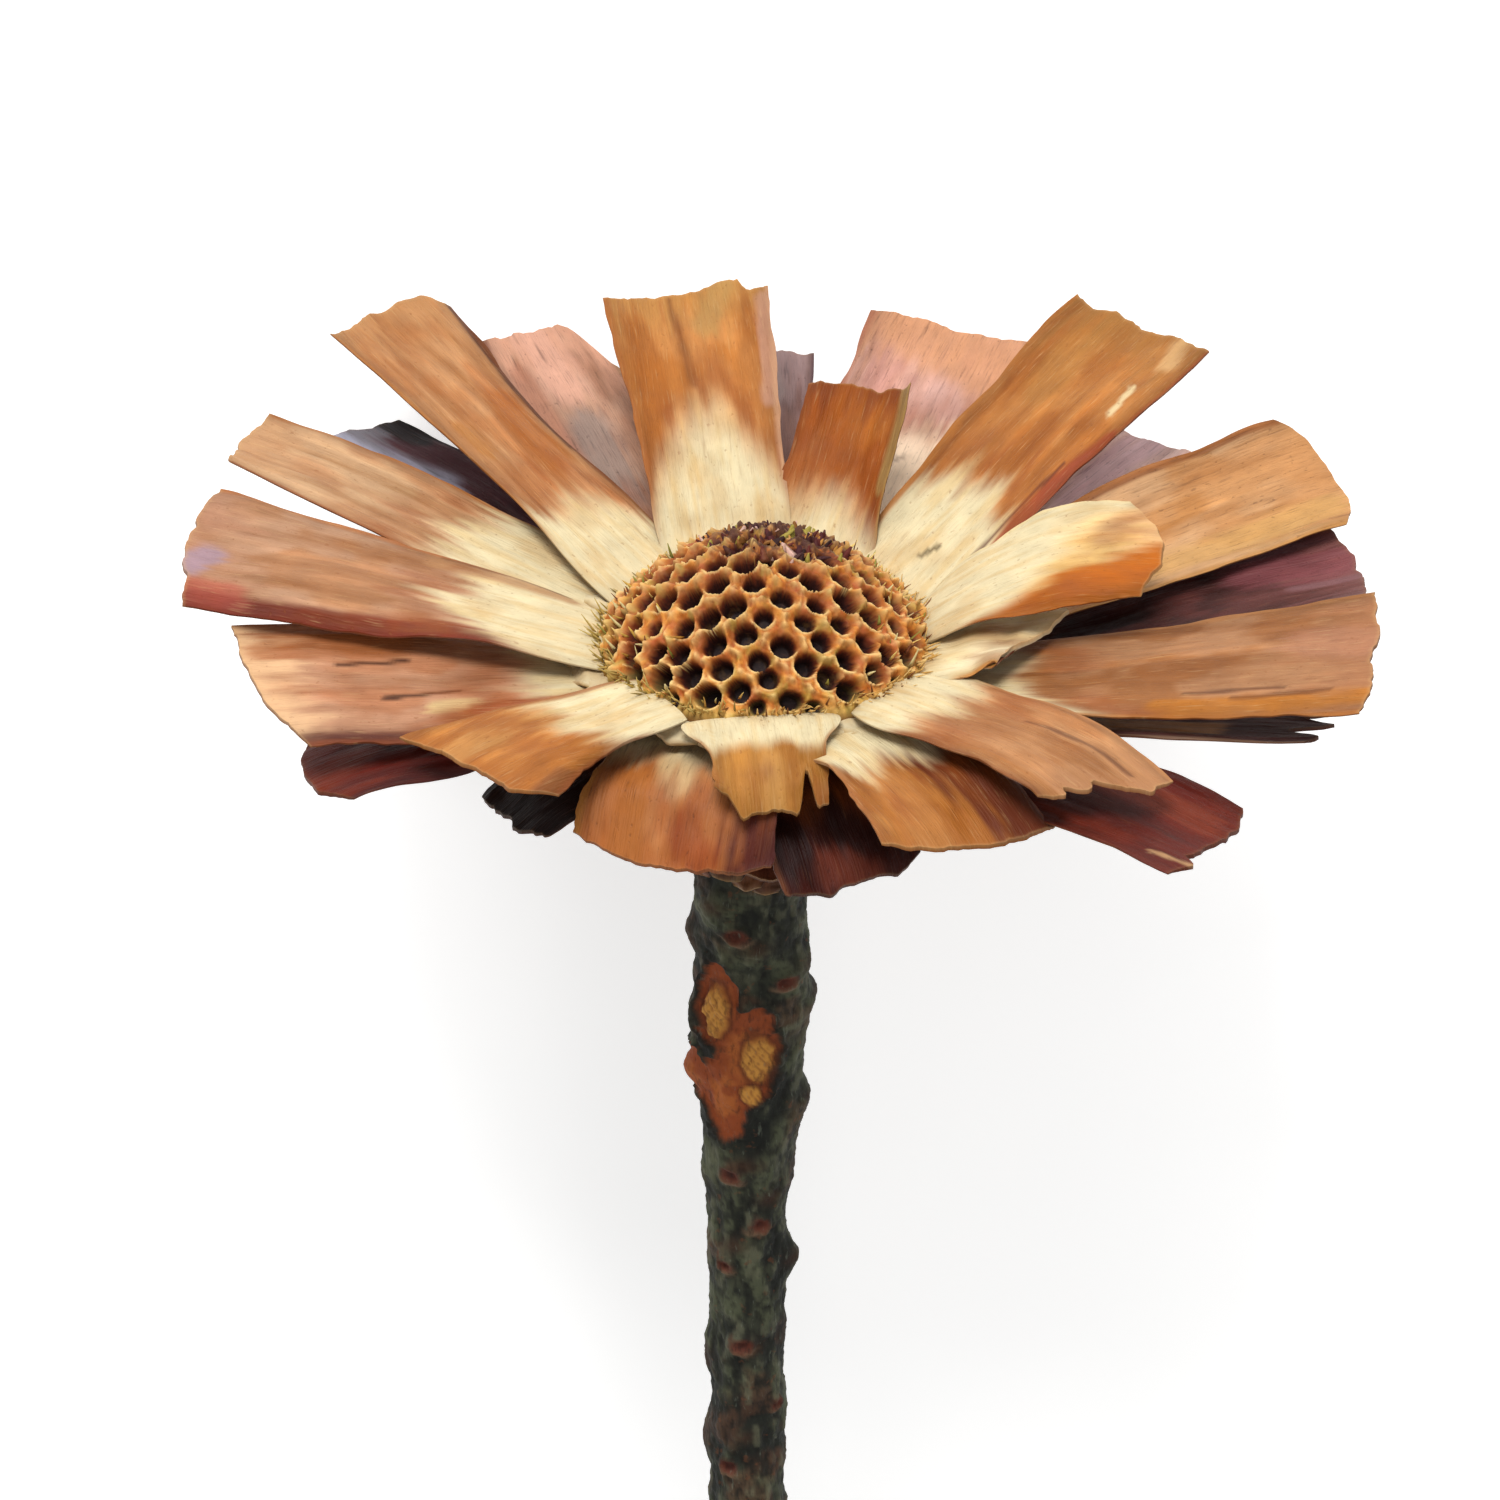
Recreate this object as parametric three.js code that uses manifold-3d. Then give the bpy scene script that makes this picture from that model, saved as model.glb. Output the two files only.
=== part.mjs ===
// A dried protea head on its woody stem, opened flat like a daisy.
// Millimetres. The flower is built upright in its own frame, z along its axis, x to the right and
// y to the back, with its origin in the middle of the seed disc's rim. At the end it is laid down on
// three points: two bract tips at the back of the head and the cut end of the stem.
// Azimuths are degrees round the axis: 0 is right, 90 the back, 180 left and -90 the front.
import * as THREE from 'three';
import { mergeGeometries, mergeVertices } from 'three/addons/utils/BufferGeometryUtils.js';
import Module from 'manifold-3d';

// Seed disc and the cone below it, which the bracts grow from.
const rimRadius = 14.8;
const domeHeight = 9.7;
const domeRound = 0.9; // 0.5 would make half an ellipsoid of it, 1 a paraboloid
const flankTop = { radius: 15.2, height: -0.8 };
const flankEnd = { radius: 5.5, height: -21 };
const pitPitch = 3.15;
const pitRadius = 1.15;
const pitDepth = 1.9;
const pitMouth = 0.35; // how far a pit's cutting cone stands out of the surface
const pitSides = 6;
const bristle = { count: 44, radius: 0.45, length: 3, inset: 0.95, sunk: 0.6 };
const stub = { count: 12, radius: 0.75, length: 5.5, sunk: 2.4, nearest: 1.5, furthest: 9.5 };
const domeRings = 7;
const roundSides = 36;
const goldenAngle = 180 * (3 - Math.sqrt(5));

// Stem.
const stemTopRadius = 5;
const stemEndRadius = 3.5;
const stemTaper = { from: 15, to: 42 }; // how far down the thick part gives way to the thin one
const stemLength = 230;
const stemShift = -1.2; // it leaves the head a little to the left of its middle
const stemDrift = -1; // how much further its cut end has wandered to the left
const barkSides = 14;
const barkRings = 46; // closer together near the head
const barkCrowding = 1.35;

// Blades.
const rootThickness = 1.2;
const tipThickness = 0.8;
const tearDepth = 0.9; // how uneven the torn tips are
const footShare = 0.35; // the share of a blade, from its root, over which its cup opens
const clearance = 0.3; // air between two neighbouring pieces

const colours = {
  innerBract: 0xc8935a,
  outerBract: 0x8f4e3a,
  lowerBract: 0x70402f,
  scales: 0x5e3d2c,
  receptacle: 0xb87a33,
  stem: 0x4c5443,
};

const wasm = await Module();
wasm.setup();

const radians = THREE.MathUtils.degToRad;

// Even random numbers from 0 to 1, the same ones for the same seed.
function seededRandom(seed) {
  let state = seed;
  return () => {
    state = (state + 0x6d2b79f5) | 0;
    let mixed = Math.imul(state ^ (state >>> 15), 1 | state);
    mixed = (mixed + Math.imul(mixed ^ (mixed >>> 7), 61 | mixed)) ^ mixed;
    return ((mixed ^ (mixed >>> 14)) >>> 0) / 4294967296;
  };
}

function solidOf(geometry) {
  const bare = geometry.clone();
  bare.deleteAttribute('normal');
  bare.deleteAttribute('uv');
  const merged = mergeVertices(bare, 1e-4);
  return new wasm.Manifold(new wasm.Mesh({
    numProp: 3,
    vertProperties: new Float32Array(merged.attributes.position.array),
    triVerts: new Uint32Array(merged.index.array),
  }));
}

function geometryOf(solid) {
  const mesh = solid.getMesh();
  const geometry = new THREE.BufferGeometry();
  geometry.setAttribute('position', new THREE.BufferAttribute(new Float32Array(mesh.vertProperties), 3));
  geometry.setIndex(new THREE.BufferAttribute(new Uint32Array(mesh.triVerts), 1));
  return geometry;
}

function closedGeometry(points, triangles) {
  const geometry = new THREE.BufferGeometry();
  geometry.setAttribute('position', new THREE.Float32BufferAttribute(points.flatMap((p) => p.toArray()), 3));
  geometry.setIndex(triangles.flat());
  return geometry;
}

// ---- Bracts ----

// Where a bract of this level is rooted: each level is one step further down the cone.
function rootPlace(level) {
  return { radius: 14.2 - 1.1 * level, height: -0.6 - 2.0 * level };
}

function around(azimuth, radius, height) {
  return new THREE.Vector3(radius * Math.cos(radians(azimuth)), radius * Math.sin(radians(azimuth)), height);
}

// A blade runs from its root straight to its tip. Across it lies a level direction, and its face looks
// up. Its half width is a parabola through the widths at the root, the middle and the tip. It bows
// up along its length, cups up at both sides, and turns about its length by its twist. A slanted
// blade is longer on the side that v = 1 names, which is the one anticlockwise round the axis.
function bladeFrame(bract) {
  const place = bract.root ?? rootPlace(bract.level);
  const root = around(bract.rootAz ?? bract.az, place.radius, place.height);
  const run = around(bract.az, bract.reach, bract.rise).sub(root);
  const across = new THREE.Vector3(-run.y, run.x, 0).normalize();
  const up = run.clone().normalize().cross(across);
  return { root, run, across, up };
}

function bladePoint(bract, frame, s0, v, side) {
  const [rootWidth, midWidth, tipWidth] = bract.widths;
  const half = 0.5 * (rootWidth * (1 - s0) * (1 - 2 * s0) + midWidth * 4 * s0 * (1 - s0)
    + tipWidth * s0 * (2 * s0 - 1));
  const s = s0 * (1 + (bract.slant ?? 0) * v);
  const opening = THREE.MathUtils.smoothstep(s0, 0, footShare);
  const turn = radians(bract.twist ?? 0) * s0;
  const lift = (bract.cup ?? 0) * v * v * opening
    + side * 0.5 * THREE.MathUtils.lerp(rootThickness, tipThickness, s0);
  const x = v * half * Math.cos(turn) - lift * Math.sin(turn);
  const y = v * half * Math.sin(turn) + lift * Math.cos(turn) + (bract.bow ?? 0) * 4 * s * (1 - s);
  return frame.root.clone().addScaledVector(frame.run, s).addScaledVector(frame.across, x)
    .addScaledVector(frame.up, y);
}

// Two like grids, an upper and a lower face, joined round their edge. The tip's points are torn back
// by a seeded amount, the same on both faces.
function bladeGeometry(bract, seed, stepsAlong = 6, stepsAcross = 4) {
  const random = seededRandom(seed);
  const frame = bladeFrame(bract);
  const length = frame.run.length();
  const tear = (tearDepth * (bract.tear ?? 1)) / length;
  const torn = Array.from({ length: stepsAcross + 1 }, () => 1 - tear * random());
  const points = [];
  for (const side of [1, -1]) {
    for (let i = 0; i <= stepsAlong; i += 1) {
      for (let j = 0; j <= stepsAcross; j += 1) {
        const s = (i / stepsAlong) * torn[j];
        points.push(bladePoint(bract, frame, s, (2 * j) / stepsAcross - 1, side));
      }
    }
  }
  const row = stepsAcross + 1;
  const layer = row * (stepsAlong + 1);
  const triangles = [];
  for (let i = 0; i < stepsAlong; i += 1) {
    for (let j = 0; j < stepsAcross; j += 1) {
      const [a, b, c, d] = [i * row + j, (i + 1) * row + j, (i + 1) * row + j + 1, i * row + j + 1];
      triangles.push([a, b, c], [a, c, d]);
      triangles.push([a + layer, c + layer, b + layer], [a + layer, d + layer, c + layer]);
    }
  }
  const edge = [];
  for (let i = 0; i < stepsAlong; i += 1) edge.push(i * row);
  for (let j = 0; j < stepsAcross; j += 1) edge.push(stepsAlong * row + j);
  for (let i = stepsAlong; i > 0; i -= 1) edge.push(i * row + stepsAcross);
  for (let j = stepsAcross; j > 0; j -= 1) edge.push(j);
  edge.forEach((a, k) => {
    const b = edge[(k + 1) % edge.length];
    triangles.push([a, a + layer, b + layer], [a, b + layer, b]);
  });
  return closedGeometry(points, triangles);
}

// The upper rows, whose pale feet ring the disc, anticlockwise from the right.
const innerBracts = [
  { level: 0, az: 2.2, rootAz: 13, reach: 35.3, rise: 8.4, widths: [5.2, 11.6, 9], bow: 2.6, cup: 0.6, twist: 20 },
  { level: 0, az: 46, rootAz: 39, reach: 51, rise: 14, widths: [6.4, 15, 15.5], bow: 1, cup: 1 },
  { level: 0, az: 70, rootAz: 74, reach: 29.8, rise: 12, widths: [5.6, 8, 7], bow: -1, cup: 1.2 },
  { level: 0, az: 100, rootAz: 103, reach: 44.4, rise: 15, widths: [6.4, 12.8, 15.5], bow: 1, cup: 1.2 },
  { level: 0, az: 133, rootAz: 133, reach: 51.5, rise: 15, widths: [6, 10, 12], cup: 1 },
  { level: 1, az: 155, rootAz: 149, reach: 52.6, rise: 9, widths: [6, 10.5, 8], bow: 1, cup: 0.8 },
  { level: 0, az: 179, rootAz: 180, reach: 51, rise: 9, widths: [6.4, 10.5, 12.5],
    bow: 1, cup: 0.6, twist: -14 },
  { level: 1, az: -166, rootAz: -159, reach: 47, rise: 1, widths: [6, 12, 13.5], bow: 0.4, twist: -18 },
  { level: 0, az: -140, rootAz: -130, reach: 33, rise: -1.8, widths: [6.5, 11, 16.5],
    bow: 2.5, twist: -9, slant: -0.15 },
  { level: 0, az: -88, rootAz: -92, reach: 23.8, rise: -5, widths: [7, 9.5, 9.5], bow: 2 },
  { level: 1, az: -59, rootAz: -60, reach: 34.7, rise: -4, widths: [5.4, 12.5, 16], bow: 2.5, slant: 0.12 },
  { level: 0, az: -40, rootAz: -42, reach: 39, rise: -0.8, widths: [6.4, 11.6, 10.5], bow: 2.5, slant: 0.1 },
  { level: 1, az: -11, rootAz: -18, reach: 54.6, rise: 4, widths: [6, 12, 13.5], bow: 0, cup: 0.4, twist: 18 },
  { level: 0, az: -10, rootAz: -13, reach: 26, rise: 1.9, widths: [4.4, 5.6, 4.6], bow: 0.8, twist: 0 },
];

// The broader, darker rows that show between them.
const outerBracts = [
  { level: 3, az: 12, rootAz: 13, reach: 54.2, rise: 3, widths: [5.6, 9.5, 10], bow: 0.6, cup: 0.8, twist: 10 },
  { level: 2, az: 21, rootAz: 26, reach: 55, rise: 7, widths: [6.6, 12.5, 12.5], bow: 1, cup: 1, twist: 22 },
  { level: 3, az: 45, rootAz: 45, reach: 52, rise: 2, widths: [6, 12, 12], cup: 1.2 },
  { level: 2, az: 68, rootAz: 66, reach: 51.5, rise: 8.5, widths: [6.6, 16, 19], cup: 1, rest: true },
  { level: 3, az: 90, reach: 45, rise: 6, widths: [5, 8, 9], cup: 0.4 },
  { level: 2, az: 112, rootAz: 112, reach: 51.4, rise: 8.5, widths: [6.5, 12, 10], cup: 1, rest: true },
  { level: 2, az: 139, rootAz: 141, reach: 54, rise: 4, widths: [6, 9, 8], cup: 1.5 },
  { level: 2, az: -160, rootAz: -158, reach: 42, rise: -7.4, widths: [6, 12, 12], bow: 1.6 },
  { level: 3, az: -144, rootAz: -142, reach: 28, rise: -9.6, widths: [6, 11, 9], bow: 1.6 },
  { level: 2, az: -109, rootAz: -112, reach: 25.5, rise: -9.4, widths: [7, 16.5, 17], bow: 3, cup: -0.6 },
  { level: 3, az: -70, rootAz: -77, reach: 23.5, rise: -12.6, widths: [6, 13, 13], bow: 2 },
  { level: 3, az: -33, rootAz: -37, reach: 46.5, rise: -8, widths: [6.5, 14, 13], bow: 2 },
  { level: 2, az: -14, rootAz: -15, reach: 51.5, rise: -2, widths: [5.5, 9, 5], cup: 0.6, twist: 10 },
];

// Short bracts further down the cone, by rule: long and lifted at the back, short and drooping in front.
const lowerCount = 10;

function lowerBracts(count, random) {
  return Array.from({ length: count }, (_, k) => {
    const level = 4 + (k % 2);
    const az = (360 / count) * (k + 0.5 + 0.2 * random());
    const back = Math.sin(radians(az));
    const rise = -8.2 + 5.8 * back - 1.2 * (level - 4);
    return { level, az, reach: 24 + 7 * back, rise, widths: [5, 8.5, 6], bow: 0.4, cup: 0.3 };
  });
}

// Small scales on the foot of the cone: each row's number, height, spread, droop and width.
const scaleRows = [
  { count: 10, height: -14.2, spread: 2.8, droop: 2.4, width: 4.4 },
  { count: 9, height: -16.2, spread: 2.4, droop: 1.6, width: 4 },
  { count: 8, height: -18.4, spread: 1.7, droop: 0.6, width: 3.6 },
];

// ---- Seed disc ----

// How high the dome stands at a distance from its axis, and how steeply it falls there.
function domeShape(radius) {
  const inside = Math.max(1 - (radius / rimRadius) ** 2, 1e-4);
  const slope = (2 * domeRound * domeHeight * radius * inside ** (domeRound - 1)) / rimRadius ** 2;
  return { height: domeHeight * inside ** domeRound, slope };
}

// The cone's half profile, grown outwards by a clearance, up from its foot and over the dome.
function receptacleProfile(extra) {
  const profile = [
    new THREE.Vector2(0, flankEnd.height - extra),
    new THREE.Vector2(flankEnd.radius + extra, flankEnd.height - extra),
    new THREE.Vector2(flankTop.radius + extra, flankTop.height),
    new THREE.Vector2(rimRadius + extra, 0),
  ];
  for (let k = 1; k < domeRings; k += 1) {
    const turn = (Math.PI / 2) * (k / domeRings);
    const radius = rimRadius * Math.cos(turn);
    profile.push(new THREE.Vector2(radius + extra * Math.cos(turn), domeShape(radius).height + extra));
  }
  profile.push(new THREE.Vector2(0, domeHeight + extra));
  return profile;
}

function lathed(profile, segments) {
  return new THREE.LatheGeometry(profile, segments).rotateX(Math.PI / 2);
}

// A cone of few sides that stands on its foot and points in the given direction.
function spike(foot, direction, radius, length, sides) {
  const geometry = new THREE.ConeGeometry(radius, length, sides).translate(0, length / 2, 0);
  const turn = new THREE.Quaternion().setFromUnitVectors(new THREE.Vector3(0, 1, 0), direction);
  return geometry.applyQuaternion(turn).translate(foot.x, foot.y, foot.z);
}

// A point of the dome and the direction it faces.
function domePlace(azimuth, radius) {
  const { height, slope } = domeShape(radius);
  return { point: around(azimuth, radius, height), facing: around(azimuth, slope, 1).normalize() };
}

// Seed pits in the sunflower's order: each one a golden angle on from the last. Their rings are
// spaced so that every pit has the same share of the dome's surface.
function pitPlaces() {
  const steps = 200;
  const hexShare = Math.sqrt(3) / 2; // a pit in a honeycomb takes this share of its pitch squared
  const area = [0];
  for (let k = 1; k <= steps; k += 1) {
    const radius = (rimRadius * (k - 0.5)) / steps;
    area.push(area[k - 1] + 2 * Math.PI * radius * Math.hypot(1, domeShape(radius).slope) * (rimRadius / steps));
  }
  const share = hexShare * pitPitch ** 2;
  const count = Math.floor(area[steps] / share);
  const places = [];
  for (let k = 0; k < count; k += 1) {
    const ring = area.findIndex((a) => a >= (k + 0.5) * share);
    const radius = (rimRadius * ring) / steps;
    if (radius < rimRadius - 0.45 * pitPitch) places.push(domePlace(k * goldenAngle, radius));
  }
  return places;
}

// The disc with its pits, short bristles round the rim and the stubs of dry florets near its crown.
function seedDisc() {
  const random = seededRandom(11);
  const pits = pitPlaces().map(({ point, facing }) => {
    const mouth = point.clone().addScaledVector(facing, pitMouth);
    return spike(mouth, facing.clone().negate(), pitRadius, pitDepth + pitMouth, pitSides);
  });
  let solid = solidOf(lathed(receptacleProfile(0), roundSides)).subtract(solidOf(mergeGeometries(pits)));
  for (let k = 0; k < bristle.count; k += 1) {
    const az = (360 / bristle.count) * (k + 0.4 * random());
    const foot = around(az, rimRadius - bristle.inset, -bristle.sunk);
    const leaning = around(az, 0.25, 1).normalize();
    const length = bristle.length * (0.85 + 0.3 * random());
    solid = solid.add(solidOf(spike(foot, leaning, bristle.radius, length, 3)));
  }
  for (let k = 0; k < stub.count; k += 1) {
    const az = 50 + 80 * random(); // on the back of the dome
    const { point, facing } = domePlace(az, THREE.MathUtils.lerp(stub.nearest, stub.furthest, random()));
    const foot = point.addScaledVector(facing, -stub.sunk);
    solid = solid.add(solidOf(spike(foot, facing, stub.radius, stub.length * (0.9 + 0.2 * random()), 4)));
  }
  return solid;
}

// What a neighbour keeps clear of.
const receptacleRoom = solidOf(lathed(receptacleProfile(clearance), roundSides));

// ---- Bracts in their nodes ----

function bract(row, seed) {
  return solidOf(bladeGeometry(row, seed)).subtract(receptacleRoom);
}

// Rows of small scales on a thin cup that wraps the foot of the cone.
function basalScales() {
  const cupTop = -13;
  const cupFoot = flankEnd.height + 0.6;
  const wall = 1.3;
  const slope = (flankTop.radius - flankEnd.radius) / (flankTop.height - flankEnd.height);
  const flankRadius = (height) => flankEnd.radius + slope * (height - flankEnd.height);
  const cup = [
    new THREE.Vector2(flankRadius(cupTop), cupTop),
    new THREE.Vector2(flankEnd.radius, cupFoot),
    new THREE.Vector2(flankEnd.radius + wall, cupFoot),
    new THREE.Vector2(flankRadius(cupTop) + wall, cupTop),
    new THREE.Vector2(flankRadius(cupTop), cupTop),
  ];
  let solid = solidOf(lathed(cup, 24));
  scaleRows.forEach(({ count, height, spread, droop, width }, row) => {
    for (let k = 0; k < count; k += 1) {
      const az = (360 / count) * (k + 0.5 * (row % 2));
      const back = Math.sin(radians(az));
      const scale = {
        az,
        root: { radius: flankRadius(height) + clearance, height },
        reach: flankRadius(height) + spread * (1 + 0.35 * back),
        rise: height - droop + 2.2 * back,
        widths: [width, width, 0.45 * width],
        bow: 0.5,
        tear: 0.3,
      };
      solid = solid.add(solidOf(bladeGeometry(scale, 100 * row + k, 2, 1)));
    }
  });
  return solid.subtract(receptacleRoom);
}

// ---- Stem ----

// Scars and knobs on the bark: [distance below the head, azimuth, how far out, how wide].
const barkMarks = [
  [3, -130, 0.7, 2.2], [7, -85, 0.5, 2.2], [9, -20, 0.9, 2.2], [13, 5, 1.0, 2.2], [17, -165, 1.1, 3.0],
  [12, -110, -0.5, 4.0], [19, -80, -0.5, 4.0], [21, 0, 0.6, 2.2], [27, -175, 0.6, 2.0], [28, -95, 0.5, 2.2],
  [31, -60, 0.5, 2.2], [36, -5, 0.9, 2.2], [37, -110, 0.5, 2.2], [43, -90, 0.5, 2.2], [55, -100, 0.5, 2.2],
];

// The stem thins towards its cut end and drifts to one side. Bark marks go on, in a winding line, past
// the ones that are placed by hand.
function stem() {
  const random = seededRandom(29);
  const marks = [...barkMarks];
  for (let down = 62; down < stemLength - 8; down += 6.5) {
    marks.push([down + 2 * random(), 137.5 * marks.length, 0.4 + 0.4 * random(), 2.2]);
  }
  const points = [];
  for (let k = 0; k <= barkRings; k += 1) {
    const share = (k / barkRings) ** barkCrowding;
    const down = stemLength * share;
    for (let j = 0; j < barkSides; j += 1) {
      const az = (360 / barkSides) * j;
      const taper = THREE.MathUtils.smoothstep(down, stemTaper.from, stemTaper.to);
      let radius = THREE.MathUtils.lerp(stemTopRadius, stemEndRadius, taper);
      for (const [place, turn, height, width] of marks) {
        const side = radians(THREE.MathUtils.euclideanModulo(az - turn + 180, 360) - 180) * radius;
        radius += height * Math.exp(-((side / width) ** 2) - ((down - place) / width) ** 2);
      }
      const point = around(az, radius, flankEnd.height - clearance - down);
      point.x += stemShift + stemDrift * share ** 0.6;
      points.push(point);
    }
  }
  const triangles = [];
  for (let k = 0; k < barkRings; k += 1) {
    for (let j = 0; j < barkSides; j += 1) {
      const [a, b] = [k * barkSides + j, k * barkSides + ((j + 1) % barkSides)];
      triangles.push([a, a + barkSides, b + barkSides], [a, b + barkSides, b]);
    }
  }
  const last = barkRings * barkSides;
  for (let j = 1; j < barkSides - 1; j += 1) {
    triangles.push([0, j, j + 1], [last, last + j + 1, last + j]);
  }
  return solidOf(closedGeometry(points, triangles));
}

// ---- Assembly ----

function addPiece(group, name, solid, colour, roughness) {
  const material = new THREE.MeshStandardMaterial({ color: colour, roughness, metalness: 0 });
  const mesh = new THREE.Mesh(geometryOf(solid), material);
  mesh.name = name;
  group.add(mesh);
  return mesh;
}

// The point of a piece, below a height, that reaches furthest back: it is what the piece lies on.
function backmost(mesh, below = Infinity) {
  const positions = mesh.geometry.attributes.position;
  const best = new THREE.Vector3(0, -Infinity, 0);
  const point = new THREE.Vector3();
  for (let k = 0; k < positions.count; k += 1) {
    point.fromBufferAttribute(positions, k);
    if (point.z < below && point.y > best.y) best.copy(point);
  }
  return best;
}

// Turns the flower so that the three points lie level and its axis runs along +y.
function layDown(group, leftTip, rightTip, stemFoot) {
  const down = leftTip.clone().sub(stemFoot).cross(rightTip.clone().sub(stemFoot)).normalize();
  if (down.y < 0) down.negate();
  const up = down.clone().negate();
  const forward = new THREE.Vector3(0, 0, 1).addScaledVector(up, -up.z).normalize();
  const right = forward.clone().cross(up);
  const turn = new THREE.Matrix4().makeBasis(right, forward, up).transpose();
  group.quaternion.setFromRotationMatrix(turn);
  group.updateMatrixWorld(true);
  const box = new THREE.Box3().setFromObject(group, true);
  const centre = box.getCenter(new THREE.Vector3());
  group.position.set(-centre.x, -centre.y, -box.min.z);
}

function buildFlower() {
  const flower = new THREE.Group();
  const stemMesh = addPiece(flower, 'stem', stem(), colours.stem, 0.85);
  addPiece(flower, 'seed_disc', seedDisc(), colours.receptacle, 0.7);
  addPiece(flower, 'basal_scales', basalScales(), colours.scales, 0.75);
  innerBracts.forEach((row, k) => {
    addPiece(flower, `inner_bract_${k + 1}`, bract(row, 200 + k), colours.innerBract, 0.6);
  });
  const outerMeshes = outerBracts.map((row, k) => (
    addPiece(flower, `outer_bract_${k + 1}`, bract(row, 300 + k), colours.outerBract, 0.55)
  ));
  lowerBracts(lowerCount, seededRandom(7)).forEach((row, k) => {
    addPiece(flower, `lower_bract_${k + 1}`, bract(row, 400 + k), colours.lowerBract, 0.6);
  });
  const rests = outerBracts.map((row, k) => (row.rest ? backmost(outerMeshes[k]) : null)).filter(Boolean);
  layDown(flower, rests[0], rests[1], backmost(stemMesh, flankEnd.height - stemLength));
  return flower;
}

export default buildFlower();
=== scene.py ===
import math

import bpy
import numpy as np
from mathutils import Matrix, Vector


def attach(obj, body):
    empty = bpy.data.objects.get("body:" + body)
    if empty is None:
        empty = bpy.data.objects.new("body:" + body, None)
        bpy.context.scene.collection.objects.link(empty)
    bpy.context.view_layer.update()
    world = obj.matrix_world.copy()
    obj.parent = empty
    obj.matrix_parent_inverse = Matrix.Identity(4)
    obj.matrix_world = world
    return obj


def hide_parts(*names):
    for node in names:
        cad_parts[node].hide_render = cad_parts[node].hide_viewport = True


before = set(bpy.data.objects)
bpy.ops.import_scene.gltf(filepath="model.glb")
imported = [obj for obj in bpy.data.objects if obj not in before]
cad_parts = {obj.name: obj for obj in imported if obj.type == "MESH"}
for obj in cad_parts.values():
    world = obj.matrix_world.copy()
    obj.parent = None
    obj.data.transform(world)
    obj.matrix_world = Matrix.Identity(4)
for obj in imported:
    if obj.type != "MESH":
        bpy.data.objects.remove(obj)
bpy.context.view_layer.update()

# Sizes are millimetres and degrees in the flower's own frame: z along its axis, x right, y back, with
# the origin in the middle of the seed disc's rim. toWorld lays the flower down as the frame has it.
flowerPose = {"tilt": 10.0685, "roll": -4.3144, "disc": (-1.5634, 112.2479, 47.5044)}
flowerTurn = np.array(
    Matrix.Rotation(math.radians(flowerPose["tilt"] - 90), 3, "X")
    @ Matrix.Rotation(math.radians(flowerPose["roll"]), 3, "Z")
)


def toWorld(points):
    return (points @ flowerTurn.T + np.array(flowerPose["disc"])) / 1000


def linear(hexColour):
    # sRGB digits to the linear values that shaders use
    parts = np.array([int(hexColour[k:k + 2], 16) / 255 for k in (0, 2, 4)])
    return np.where(parts <= 0.04045, parts / 12.92, ((parts + 0.055) / 1.055) ** 2.4)


def evenColour(hexColour, shape):
    # one colour for every point of a grid
    return linear(hexColour) * np.ones(tuple(shape) + (1,))


def smooth(x, low, high):
    # 0 at low, 1 at high and 3 t^2 - 2 t^3 between; where low is the greater, it falls instead
    t = np.clip((x - low) / (high - low), 0, 1)
    return t * t * (3 - 2 * t)


def hill(x, width):
    # e^-(x / width)^2: 1 at the middle and near 0 two widths away
    return np.exp(-((x / width) ** 2))


def unit(directions):
    return directions / np.linalg.norm(directions, axis=-1, keepdims=True)


def blendTo(colour, hexColour, mask):
    # colour + (other - colour) mask
    return colour + (linear(hexColour) - colour) * np.clip(mask, 0, 1)[..., None]


def valueNoise(x, y, seed, period=64):
    # Random values on a lattice of whole numbers, joined smoothly, from 0 to 1. It repeats along x
    # after the period, so that it can be wrapped round a tube.
    table = np.random.RandomState(seed).rand(64, 64)
    i, j = np.floor(x).astype(int), np.floor(y).astype(int)
    fx, fy = x - i, y - j
    fx, fy = fx * fx * (3 - 2 * fx), fy * fy * (3 - 2 * fy)
    i0, i1, j0, j1 = i % period % 64, (i + 1) % period % 64, j % 64, (j + 1) % 64
    low = table[i0, j0] * (1 - fx) + table[i1, j0] * fx
    high = table[i0, j1] * (1 - fx) + table[i1, j1] * fx
    return low * (1 - fy) + high * fy


def layeredNoise(x, y, seed, layers=3, period=64):
    # valueNoise, then the same twice as fine and half as strong, and so on, brought back to 0 to 1
    total = 0
    for k in range(layers):
        total = total + valueNoise(x * 2 ** k, y * 2 ** k, seed + k, period * 2 ** k) / 2 ** k
    return total / sum(1 / 2 ** k for k in range(layers))


def gridFaces(rows, columns, first=0, wrap=False, flip=False):
    # quads between neighbouring rows and columns of a grid of points
    i, j = np.meshgrid(np.arange(rows - 1), np.arange(columns if wrap else columns - 1), indexing="ij")
    a, b = i * columns + j, i * columns + (j + 1) % columns
    faces = np.stack([a, a + columns, b + columns, b], -1).reshape(-1, 4) + first
    return faces[:, ::-1] if flip else faces


def fanFaces(ring, centre, flip=False):
    # triangles from a ring of points to its middle
    faces = np.stack([ring, np.roll(ring, -1), np.full(len(ring), centre)], -1)
    return faces[:, ::-1] if flip else faces


def joined(parts):
    # several (points, faces, colours) as one
    points, faces, tints, first = [], [], [], 0
    for partPoints, partFaces, partTints in parts:
        points.append(partPoints)
        tints.append(partTints)
        faces += [group + first for group in partFaces]
        first += len(partPoints)
    return np.concatenate(points), faces, np.concatenate(tints)


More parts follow.
